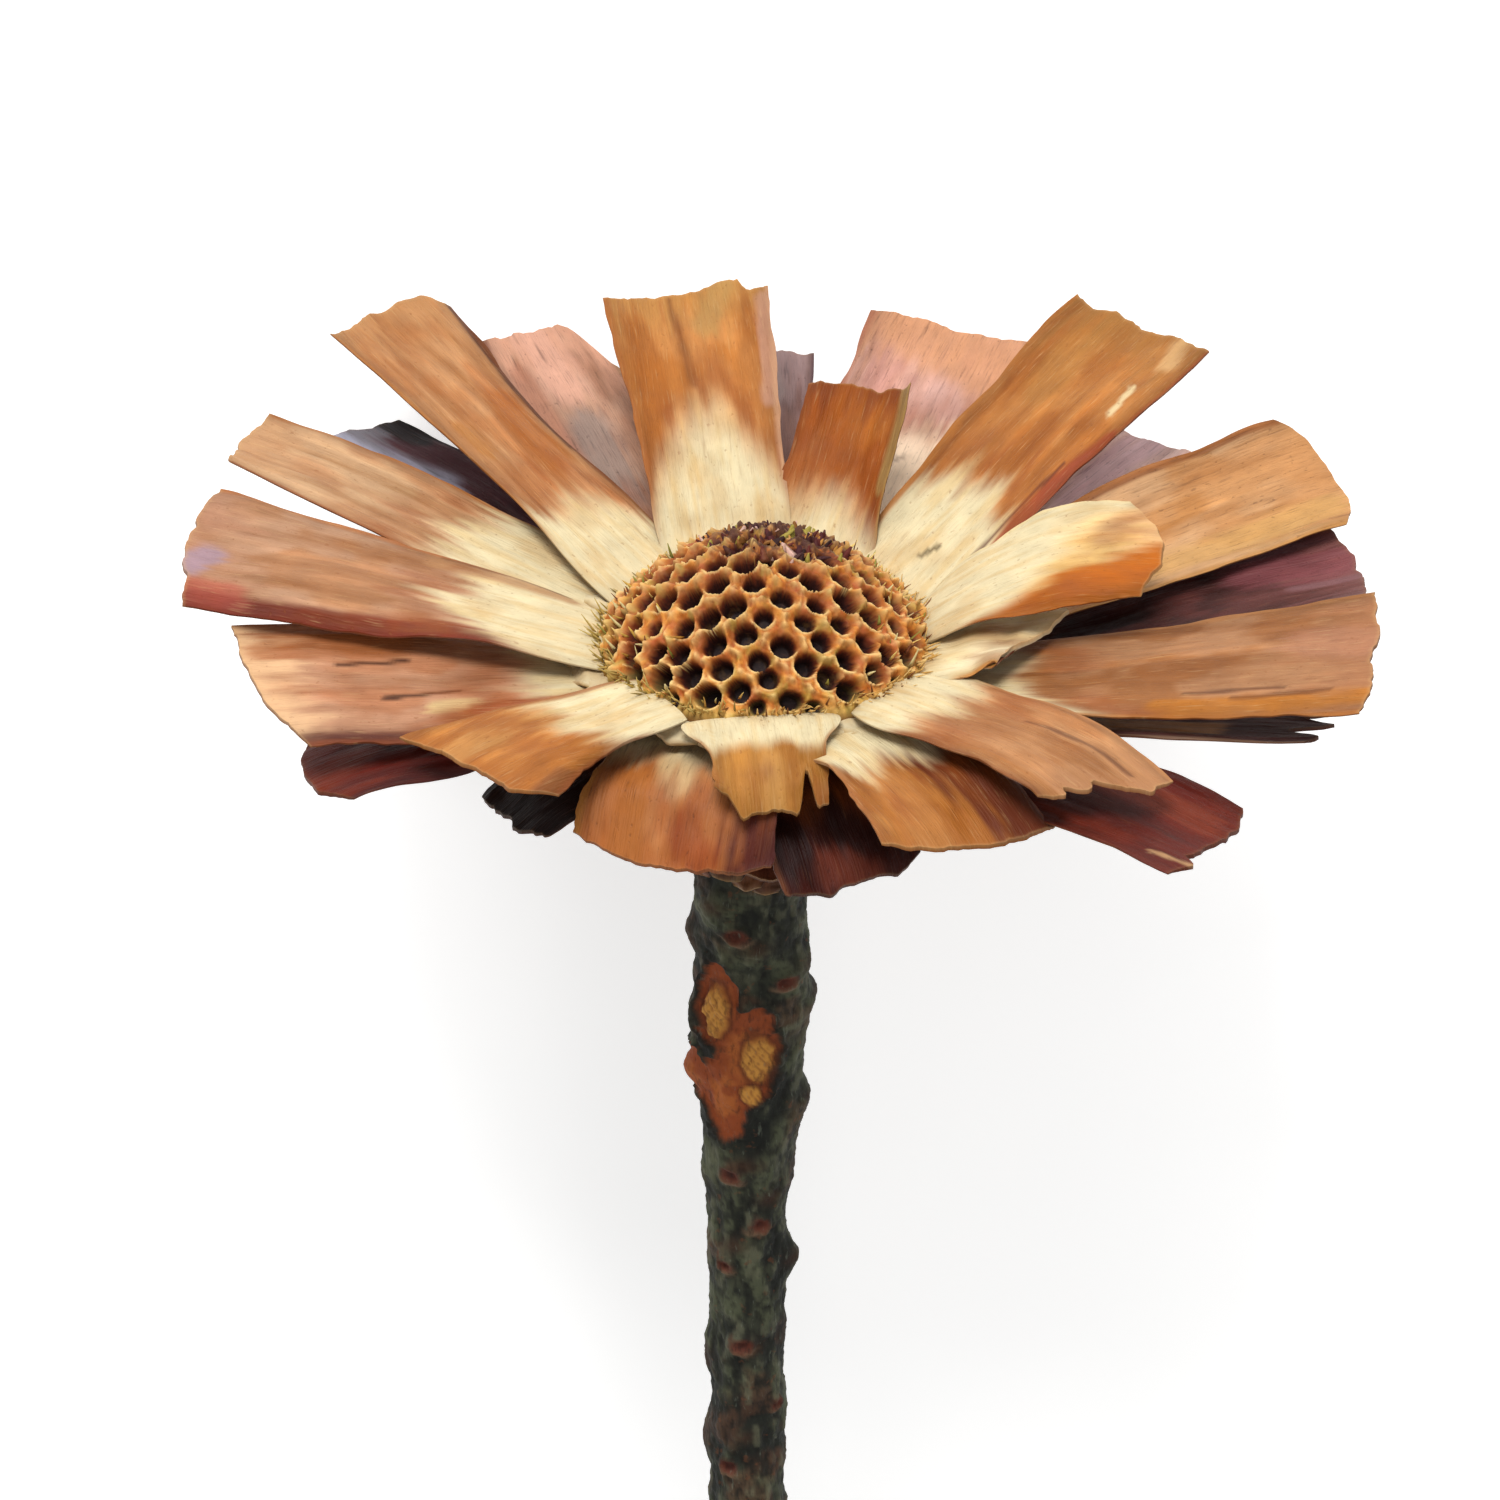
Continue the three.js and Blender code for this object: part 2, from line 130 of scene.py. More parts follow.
def markSharp(mesh, wantedEdges):
    # an edge is known by the numbers of its two ends, the lower one first
    count = len(mesh.vertices)
    ends = np.zeros(len(mesh.edges) * 2, np.int32)
    mesh.edges.foreach_get("vertices", ends)
    ends = np.sort(ends.reshape(-1, 2), 1).astype(np.int64)
    wanted = np.sort(wantedEdges, 1).astype(np.int64)
    endKeys, wantedKeys = [pair[:, 0] * count + pair[:, 1] for pair in (ends, wanted)]
    layer = mesh.attributes.new("sharp_edge", "BOOLEAN", "EDGE")
    layer.data.foreach_set("value", np.isin(endKeys, wantedKeys))


def meshPiece(name, node, slot, material, points, faceGroups, tint, uv=None, sharpEdges=None):
    # Points are in the flower's frame, faceGroups are arrays of triangles or quads, and each point has
    # its colour in tint and, on a blade, its place on the fibre map in uv.
    mesh = bpy.data.meshes.new(name)
    mesh.vertices.add(len(points))
    mesh.vertices.foreach_set("co", toWorld(points).astype(np.float32).ravel())
    corners = np.concatenate([group.ravel() for group in faceGroups])
    sizes = np.concatenate([np.full(len(group), group.shape[1]) for group in faceGroups])
    starts = np.concatenate([[0], np.cumsum(sizes)[:-1]])
    mesh.loops.add(len(corners))
    mesh.loops.foreach_set("vertex_index", corners.astype(np.int32))
    mesh.polygons.add(len(sizes))
    mesh.polygons.foreach_set("loop_start", starts.astype(np.int32))
    mesh.update(calc_edges=True)
    mesh.validate()
    mesh.polygons.foreach_set("use_smooth", np.ones(len(mesh.polygons), bool))
    layer = mesh.attributes.new("tint", "FLOAT_COLOR", "POINT")
    rgba = np.concatenate([np.clip(tint, 0, 1), np.ones((len(tint), 1))], 1)
    layer.data.foreach_set("color", rgba.astype(np.float32).ravel())
    if uv is not None:
        layer = mesh.uv_layers.new(name="fibre")
        layer.data.foreach_set("uv", uv[corners].astype(np.float32).ravel())
    if sharpEdges is not None:
        markSharp(mesh, sharpEdges)
    mesh.materials.append(material)
    piece = bpy.data.objects.new(name, mesh)
    bpy.context.scene.collection.objects.link(piece)
    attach(piece, "root")
    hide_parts(node)


class Wire:
    # one output socket, with the operators that the materials below use
    def __init__(self, shop, socket):
        self.shop, self.socket = shop, socket

    def math(self, operation, other, swap=False):
        values = [other, self] if swap else [self, other]
        return self.shop.node("ShaderNodeMath", {"operation": operation}, {0: values[0], 1: values[1]})

    def __add__(self, other):
        return self.math("ADD", other)

    def __sub__(self, other):
        return self.math("SUBTRACT", other)

    def __mul__(self, other):
        return self.math("MULTIPLY", other)

    def __radd__(self, other):
        return self.math("ADD", other, True)

    def __rsub__(self, other):
        return self.math("SUBTRACT", other, True)

    def __rmul__(self, other):
        return self.math("MULTIPLY", other, True)

    def above(self, low, high):
        # 0 at low, 1 at high, smooth between; where low is the greater, it falls instead
        return self.shop.node(
            "ShaderNodeMapRange",
            {"interpolation_type": "SMOOTHSTEP"},
            {"Value": self, "From Min": low, "From Max": high},
        )


class MaterialShop:
    # one material and the nodes that are made for it
    def __init__(self, name):
        self.material = bpy.data.materials.new(name)
        self.material.use_nodes = True
        self.tree = self.material.node_tree
        self.tree.nodes.clear()
        self.count = 0

    def node(self, kind, settings=None, inputs=None, output=0):
        made = self.tree.nodes.new(kind)
        self.count += 1
        made.location = (180 * (self.count % 12), -220 * (self.count // 12))
        for key, value in (settings or {}).items():
            setattr(made, key, value)
        for key, value in (inputs or {}).items():
            if isinstance(value, Wire):
                self.tree.links.new(value.socket, made.inputs[key])
            else:
                made.inputs[key].default_value = value
        return Wire(self, made.outputs[output])

    def mix(self, factor, first, second, blend="MIX"):
        return self.node(
            "ShaderNodeMix",
            {"data_type": "RGBA", "blend_type": blend},
            {0: factor, 6: first, 7: second},
            output=2,
        )

    def colour(self, hexColour):
        return (*linear(hexColour), 1)

    def tint(self):
        # the colours painted on the mesh
        return self.node("ShaderNodeAttribute", {"attribute_name": "tint"}, output="Color")

    def place(self):
        # where a point lies on the object, in metres
        return self.node("ShaderNodeTexCoord", output="Object")

    def stretched(self, vector, scale):
        return self.node("ShaderNodeMapping", {"vector_type": "POINT"}, {"Vector": vector, "Scale": scale})

    def noise(self, vector, scale, detail=3.0, roughness=0.55):
        return self.node(
            "ShaderNodeTexNoise", None,
            {"Vector": vector, "Scale": scale, "Detail": detail, "Roughness": roughness},
        )


def finishMaterial(shop, settings, height=None, bumpDistance=0.0, bumpStrength=0.0):
    # the surface shader, over a bump in metres where a height is given
    if height is not None:
        bump = {"Strength": bumpStrength, "Distance": bumpDistance, "Height": height}
        settings["Normal"] = shop.node("ShaderNodeBump", None, bump)
    surface = shop.node("ShaderNodeBsdfPrincipled", None, settings)
    out = shop.tree.nodes.new("ShaderNodeOutputMaterial")
    shop.tree.links.new(surface.socket, out.inputs["Surface"])
    return shop.material


dryBlade = {
    "inner": {"light": "EBC690", "lightShare": 0.25, "dark": "8A5028", "darkShare": 0.32, "roughness": 0.6,
              "value": 0.75},
    "outer": {"light": "C89068", "lightShare": 0.1, "dark": "3A1810", "darkShare": 0.5, "roughness": 0.55,
              "value": 0.74},
    "lower": {"light": "9A6A4A", "lightShare": 0.08, "dark": "26120C", "darkShare": 0.55, "roughness": 0.6,
              "value": 0.7},
}
# The first four say how many times finer than the fibre map each pattern is, across and along.
bladeSurface = {"fine": (60, 3.5, 1), "broad": (16, 1.6, 1), "cloud": (5, 3, 1), "pocks": (26, 14, 1),
                "fineDark": 0.8, "pockDark": 0.35, "saturation": 1.06, "cloudValue": 0.4,
                "cloudRoughness": 0.25, "shine": 0.22, "bumpDistance": 0.00025, "bumpStrength": 0.6}


def dryBladeMaterial(kind):
    # Fibres run along the blade: noise stretched on the blade's own UV map, whose units are centimetres.
    values = dryBlade[kind]
    shop = MaterialShop("dryBlade_" + kind)
    uv = shop.node("ShaderNodeUVMap", {"uv_map": "fibre"})
    fine = shop.noise(shop.stretched(uv, bladeSurface["fine"]), 1.0)
    broad = shop.noise(shop.stretched(uv, bladeSurface["broad"]), 1.0)
    cloud = shop.noise(shop.stretched(uv, bladeSurface["cloud"]), 1.0, 4.0, 0.6)
    pocks = shop.noise(shop.stretched(uv, bladeSurface["pocks"]), 1.0, 2.0)
    light, dark = shop.colour(values["light"]), shop.colour(values["dark"])
    fineDark = values["darkShare"] * bladeSurface["fineDark"]
    colour = shop.mix(broad.above(0.42, 0.2) * values["darkShare"], shop.tint(), dark, "MULTIPLY")
    colour = shop.mix(fine.above(0.48, 0.22) * fineDark, colour, dark)
    colour = shop.mix(fine.above(0.55, 0.78) * values["lightShare"], colour, light)
    colour = shop.mix(pocks.above(0.64, 0.74) * bladeSurface["pockDark"], colour, dark)
    value = values["value"] + (cloud - 0.5) * bladeSurface["cloudValue"]
    shade = shop.node(
        "ShaderNodeHueSaturation", None,
        {"Saturation": bladeSurface["saturation"], "Value": value, "Color": colour},
    )
    height = fine * 0.7 + broad * 0.6 + pocks.above(0.72, 0.6) * 0.15
    roughness = values["roughness"] + (cloud - 0.5) * bladeSurface["cloudRoughness"]
    return finishMaterial(
        shop, {"Base Color": shade, "Roughness": roughness, "Specular IOR Level": bladeSurface["shine"]},
        height, bladeSurface["bumpDistance"], bladeSurface["bumpStrength"],
    )


print("materials")
bladeMaterials = {kind: dryBladeMaterial(kind) for kind in dryBlade}

bladeGrid = {"along": 96, "across": 44, "rootThickness": 1.1, "tipThickness": 0.42, "edgeThickness": 0.16}
footWidening = {"amount": 0.55, "share": 0.28, "lift": 0.5, "liftShare": 0.2}
rowRoots = {"radius": 14.2, "radiusStep": 1.1, "height": -0.6, "heightStep": 2.0, "footShare": 0.35}

# Every blade that the photograph shows, set one by one. v is -1 on its clockwise edge and 1 on the
# other, seen from the front of the head, and s is the share of its length from the foot.
# level: its row down the cone. az and rootAz: the directions of its tip and foot round the axis, 0 on
# the right and 90 at the back. reach and rise: the radius and height of its tip, in mm. twist: the
# degrees that it turns on the way to its tip. body, second and tipTint: its colour, the mottling on
# it and the tip. edge: its two long edges.
# widths: at foot, middle and tip. bow, cup and curl (at v = -1, at v = 1 and at the tip): mm towards
# the face. slant: how much longer the blade is on one side. foot: how much its foot is widened.
# tip: how many mm are torn off the tip, at points across it. slits: [v, depth, width] in mm.
# cream: how far the pale foot reaches, as a share of the length, at v = -1, 0 and 1.
# zig and soft: how toothed and how blurred the foot's end is. ragged: how torn the tip is.
# strokes: [s, v, s, v, width in mm, colour, strength] lines of other colours; marks lie on the foot too.
innerRow = [
    dict(level=0, az=2.2, rootAz=13, reach=35.3, rise=8.4, widths=(5.2, 11.6, 9), bow=2.6, cup=0.6,
         twist=20, curl=(-1.6, 0.3, 0), ragged=0.4,
         tip=((-1, 2.6), (-0.5, 0.5), (0, 0), (0.5, 0.3), (1, 2.2)),
         cream=(0.3, 0.62, 1.0), zig=0.9,
         body="E6BC7C", second="EECA94", tipTint="E8B888", edge=("A8622C", "EFD8A4"),
         strokes=[(0.3, -0.88, 0.97, -0.8, 1.6, "BC6420", 0.95),
                  (0.66, -0.75, 1.0, -0.35, 1.9, "BC6420", 0.95)]),
    dict(level=0, az=46, rootAz=39, reach=51, rise=14, widths=(6.4, 13.8, 15.5), bow=1, cup=1,
         curl=(-0.9, 0.4, 0),
         tip=((-1, 0.8), (-0.6, 0.2), (0, 0.6), (0.45, 0), (0.7, 0.7), (1, 0.4)),
         cream=(0.2, 0.36, 0.3), zig=2.2, soft=2.6,
         marks=[(0.05, 0.97, 0.5, 0.97, 0.5, "B8743C", 0.85), (0.1, -0.9, 0.55, -0.95, 0.8, "B0583C", 0.9),
                (0.16, -0.72, 0.5, -0.78, 0.25, "5E2A1C", 0.8),
                (0.13, 0.0, 0.17, -0.12, 0.3, "5A4A2A", 0.8)],
         body="B06E3A", second="C0824C", tipTint="A06E3C", edge=("8E4426", "B0713C"),
         strokes=[(0.2, -0.85, 0.62, -0.95, 1.0, "A84C30", 0.85),
                  (0.69, -0.7, 0.79, -0.6, 0.35, "EBD3A4", 0.9), (0.22, 0.1, 0.3, 0.0, 0.5, "5A3420", 0.6),
                  (0.9, -0.7, 0.97, -0.6, 1.1, "DDB27E", 0.7), (0.7, 0.4, 0.98, 0.5, 2.0, "A97640", 0.5)]),
    dict(level=0, az=72, rootAz=75, reach=29.8, rise=12, widths=(6.4, 10, 9.4), bow=-1, cup=1.2,
         curl=(1.0, 0, -0.5),
         tip=((-1, 0), (-0.2, 0.2), (0.3, 0), (0.6, 0.5), (1, 0.8)),
         cream=(0.16, 0.42, 0.3), zig=1.0, soft=3.5,
         body="9E5424", second="B06A34", tipTint="823F1C", edge=("A98650", "8A4A24"),
         strokes=[(0.5, -0.93, 0.98, -0.93, 0.8, "A58350", 0.9), (0.6, 0.3, 0.95, 0.3, 1.6, "A2561F", 0.6)]),
    dict(level=0, az=100, rootAz=103, reach=44.4, rise=15, widths=(6.4, 12.8, 15.5), bow=1, cup=1.2,
         curl=(0.4, 0.3, 0),
         tip=((-1, 2.2), (-0.72, 1.4), (-0.66, 0), (0, 0.9), (0.6, 1.5), (1, 2.2)),
         cream=(0.22, 0.5, 0.2), zig=1.2, soft=4.5,
         body="B9763F", second="C98A54", tipTint="C08A50", edge=("C69878", "A9683A"),
         strokes=[(0.62, 0.1, 0.95, 0.2, 0.35, "7E4A26", 0.7),
                  (0.34, -0.75, 0.7, -0.7, 1.8, "B87844", 0.75), (0.4, 0.7, 0.8, 0.65, 2.2, "A8632F", 0.7),
                  (0.85, -0.2, 0.97, -0.45, 1.6, "B59058", 0.6),
                  (0.55, -0.92, 0.9, -0.92, 0.9, "CF9E86", 0.7)]),
    dict(level=0, az=133.2, rootAz=133, reach=52.5, rise=15, widths=(6.4, 10.4, 14.6), cup=1,
         curl=(-1.2, 0, 0),
         tip=((-1, 2.6), (-0.7, 0.8), (-0.4, 0), (0.2, 0.4), (0.5, 1.0), (1, 1.6)),
         cream=(0.12, 0.28, 0.36), zig=2.0,
         body="BC8054", second="CC986C", tipTint="C08C5E", edge=("6E3A1E", "B47640"),
         strokes=[(0.45, -0.95, 1, -0.97, 0.5, "5E3018", 0.9),
                  (0.44, -0.4, 0.62, -0.5, 2.0, "A8602E", 0.7), (0.52, 0.6, 0.6, 0.6, 1.0, "B5763C", 0.6)]),
    dict(level=1, az=155.6, rootAz=149, reach=52.6, rise=9, widths=(6.4, 11.6, 8.5), bow=1, cup=0.8,
         curl=(0.4, -0.4, 0),
         tip=((-1, 0.6), (-0.4, 0), (0.4, 0.4), (1, 1.2)),
         cream=(0.4, 0.46, 0.44), zig=2.4,
         body="C0906A", second="D0AA84", tipTint="CC9E76", edge=("A86A3C", "9A5A34")),
    dict(level=0, az=179, rootAz=180, reach=51, rise=9, widths=(6.8, 11.6, 13.2), bow=1, cup=0.6,
         twist=-14, curl=(0.3, -2.2, 0.4),
         tip=((-1, 1.6), (-0.5, 0.2), (0, 0), (0.5, 0.3), (1, 1.0)),
         cream=(0.38, 0.36, 0.2), zig=2.6,
         marks=[(0.1, -0.85, 0.42, -0.8, 1.0, "B4845C", 0.75), (0.1, -0.97, 0.4, -0.97, 0.3, "5E3A20", 0.7)],
         body="B4825E", second="C49A7C", tipTint="B8866A", edge=("B06E42", "7A2F1E"),
         strokes=[(0.3, 0.95, 0.98, 0.98, 1.5, "7A2A1E", 0.9), (0.88, 0.8, 1.0, 0.85, 1.6, "B4584A", 0.7),
                  (0.94, 0.1, 0.99, 0.4, 1.4, "A890A0", 0.75), (0.5, 0.9, 0.7, 0.95, 0.8, "9A4A2C", 0.5)]),
    dict(level=1, az=-166.5, rootAz=-161, reach=47, rise=1.6, widths=(8, 14.5, 14.2), bow=0.6, twist=-18,
         curl=(0.3, -0.8, 0), ragged=0.6,
         tip=((-1, 0), (-0.5, 0.4), (0, 1.0), (0.5, 2.6), (1, 5.4)),
         cream=(0.2, 0.27, 0.4), zig=1.8,
         marks=[(0.02, 0.75, 0.45, 0.85, 2.0, "A05C30", 0.9), (0.14, 0.42, 0.4, 0.6, 1.0, "A05434", 0.85),
                (0.02, 0.95, 0.4, 0.97, 0.6, "5A3018", 0.85), (0.05, -0.8, 0.16, -0.7, 0.9, "7A4A28", 0.7)],
         body="B47C5C", second="C49476", tipTint="F2C69A", edge=("9C5A34", "8C4A2E"),
         strokes=[(0.56, -0.35, 0.74, -0.25, 0.3, "3A1A10", 0.9),
                  (0.44, 0.2, 0.63, 0.35, 0.35, "3E1D10", 0.9), (0.42, 0.5, 0.5, 0.52, 1.1, "E6C590", 0.9),
                  (0.2, 0.5, 0.4, 0.7, 1.4, "9A5C2E", 0.7), (0.6, -0.6, 0.9, -0.5, 2, "A86238", 0.6),
                  (0.5, 1.0, 0.94, 1.0, 1.5, "5A1E18", 0.85)]),
    dict(level=0, az=-140, rootAz=-130, reach=33.5, rise=-1.0, widths=(5, 9, 15), bow=0.7, twist=-9,
         slant=-0.15, foot=0.8, curl=(0, -1.0, -0.5), ragged=0.6,
         tip=((-1, 0.2), (-0.3, 0.8), (0.2, 0.6), (0.6, 0), (0.8, 1.4), (1, 3.0)),
         cream=(0.46, 0.48, 0.42), zig=1.6,
         marks=[(0.02, -0.92, 0.55, -0.97, 0.8, "A8683C", 0.8)],
         body="B9763F", second="C98A50", tipTint="AD6A38", edge=("A5683A", "8A5030"),
         strokes=[(0.62, 0.9, 0.95, 0.9, 1.2, "6A4030", 0.5), (0.55, -0.4, 0.9, -0.3, 1.6, "C8935C", 0.6)]),
    dict(level=0, az=-88, rootAz=-92, reach=23.8, rise=-5, widths=(7, 9.5, 9.5), bow=2, foot=0.9,
         tip=((-1, 2.2), (-0.78, 1.6), (-0.6, 0), (0.1, 0.3), (0.55, 0), (1, 0.6)),
         slits=[(0.62, 3.4, 0.5)],
         cream=(0.4, 0.38, 0.44), zig=0.4, soft=0.9,
         body="B67E42", second="C49052", tipTint="B07840", edge=("A87040", "9C6436"),
         strokes=[(0.6, 0.0, 0.9, 0.0, 1.4, "CF9A5C", 0.6)]),
    dict(level=1, az=-58, rootAz=-60, reach=34.7, rise=-4, widths=(5.4, 12.5, 17.2), bow=1.8, slant=0.12,
         foot=1.1, curl=(0.4, -0.7, -0.8), ragged=0.6,
         tip=((-1, 0.4), (-0.5, 0), (0, 0.5), (0.5, 1.0), (1, 2.8)),
         cream=(0.5, 0.44, 0.38), zig=1.8,
         body="B27038", second="C2844A", tipTint="AC6C3C", edge=("A86C40", "8A4E32"),
         # The first stroke, a wide dark band on the upper side, is painted shade from the next blade over
         # the blade's own mahogany.
         strokes=[(0.35, 0.5, 0.96, 0.75, 4.8, "5E2418", 0.9), (0.3, 0.9, 0.6, 0.95, 1.4, "6A3020", 0.8),
                  (0.5, -0.5, 0.9, -0.4, 2.0, "C08450", 0.6)]),
    dict(level=0, az=-40, rootAz=-42, reach=39.5, rise=-1.2, widths=(6.4, 11.6, 10.5), bow=1.2, slant=0.1,
         curl=(0, 0.3, -0.8),
         tip=((-1, 2.0), (-0.6, 1.0), (-0.2, 1.4), (0.2, 0.4), (0.6, 0), (1, 0.6)),
         slits=[(-0.5, 1.5, 0.5), (-0.1, 0.9, 0.4)],
         cream=(0.26, 0.24, 0.24), zig=1.6,
         body="B27A50", second="C28E64", tipTint="B8845E", edge=("8C5430", "BC8458"),
         strokes=[(0.5, 0.4, 0.9, 0.5, 0.35, "5A3020", 0.7), (0.4, -0.8, 0.9, -0.85, 0.9, "A86C3C", 0.6)]),
    dict(level=1, az=-11, rootAz=-18, reach=54.6, rise=4, widths=(6, 12, 13.5), bow=0, cup=0.4, twist=18,
         curl=(-1.0, 0.2, 0.5),
         tip=((-1, 1.6), (-0.6, 0.6), (-0.2, 0.8), (0.3, 0), (0.7, 0.5), (1, 0.4)),
         cream=(0.44, 0.22, 0.16), zig=1.4,
         body="A06A42", second="B48460", tipTint="AA7452", edge=("B06E38", "A8744A"),
         strokes=[(0.55, -0.85, 0.98, -0.8, 1.0, "C47C38", 0.8),
                  (0.6, -0.6, 0.8, -0.55, 0.3, "5E3420", 0.8), (0.86, 0.2, 0.98, 0.1, 2.4, "B88266", 0.6),
                  (0.7, -0.7, 0.9, -0.66, 0.3, "6A3C22", 0.7)]),
    dict(level=0, az=-6, rootAz=-10, reach=27, rise=2.6, widths=(7, 10.5, 9), bow=0.7, twist=2, ragged=0.5,
         tip=((-1, 7.5), (-0.4, 4.4), (0.2, 1.6), (0.7, 0), (1, 0.6)),
         cream=(0.2, 0.2, 0.2), zig=0.8,
         # Its cream is lifted near white, paler than the foot's own cream: painted light against the shade
         # of the blade above.
         body="FFF0C8", second="FFE4B0", tipTint="F6D09A", edge=("C88848", "F4DCA8")),
]
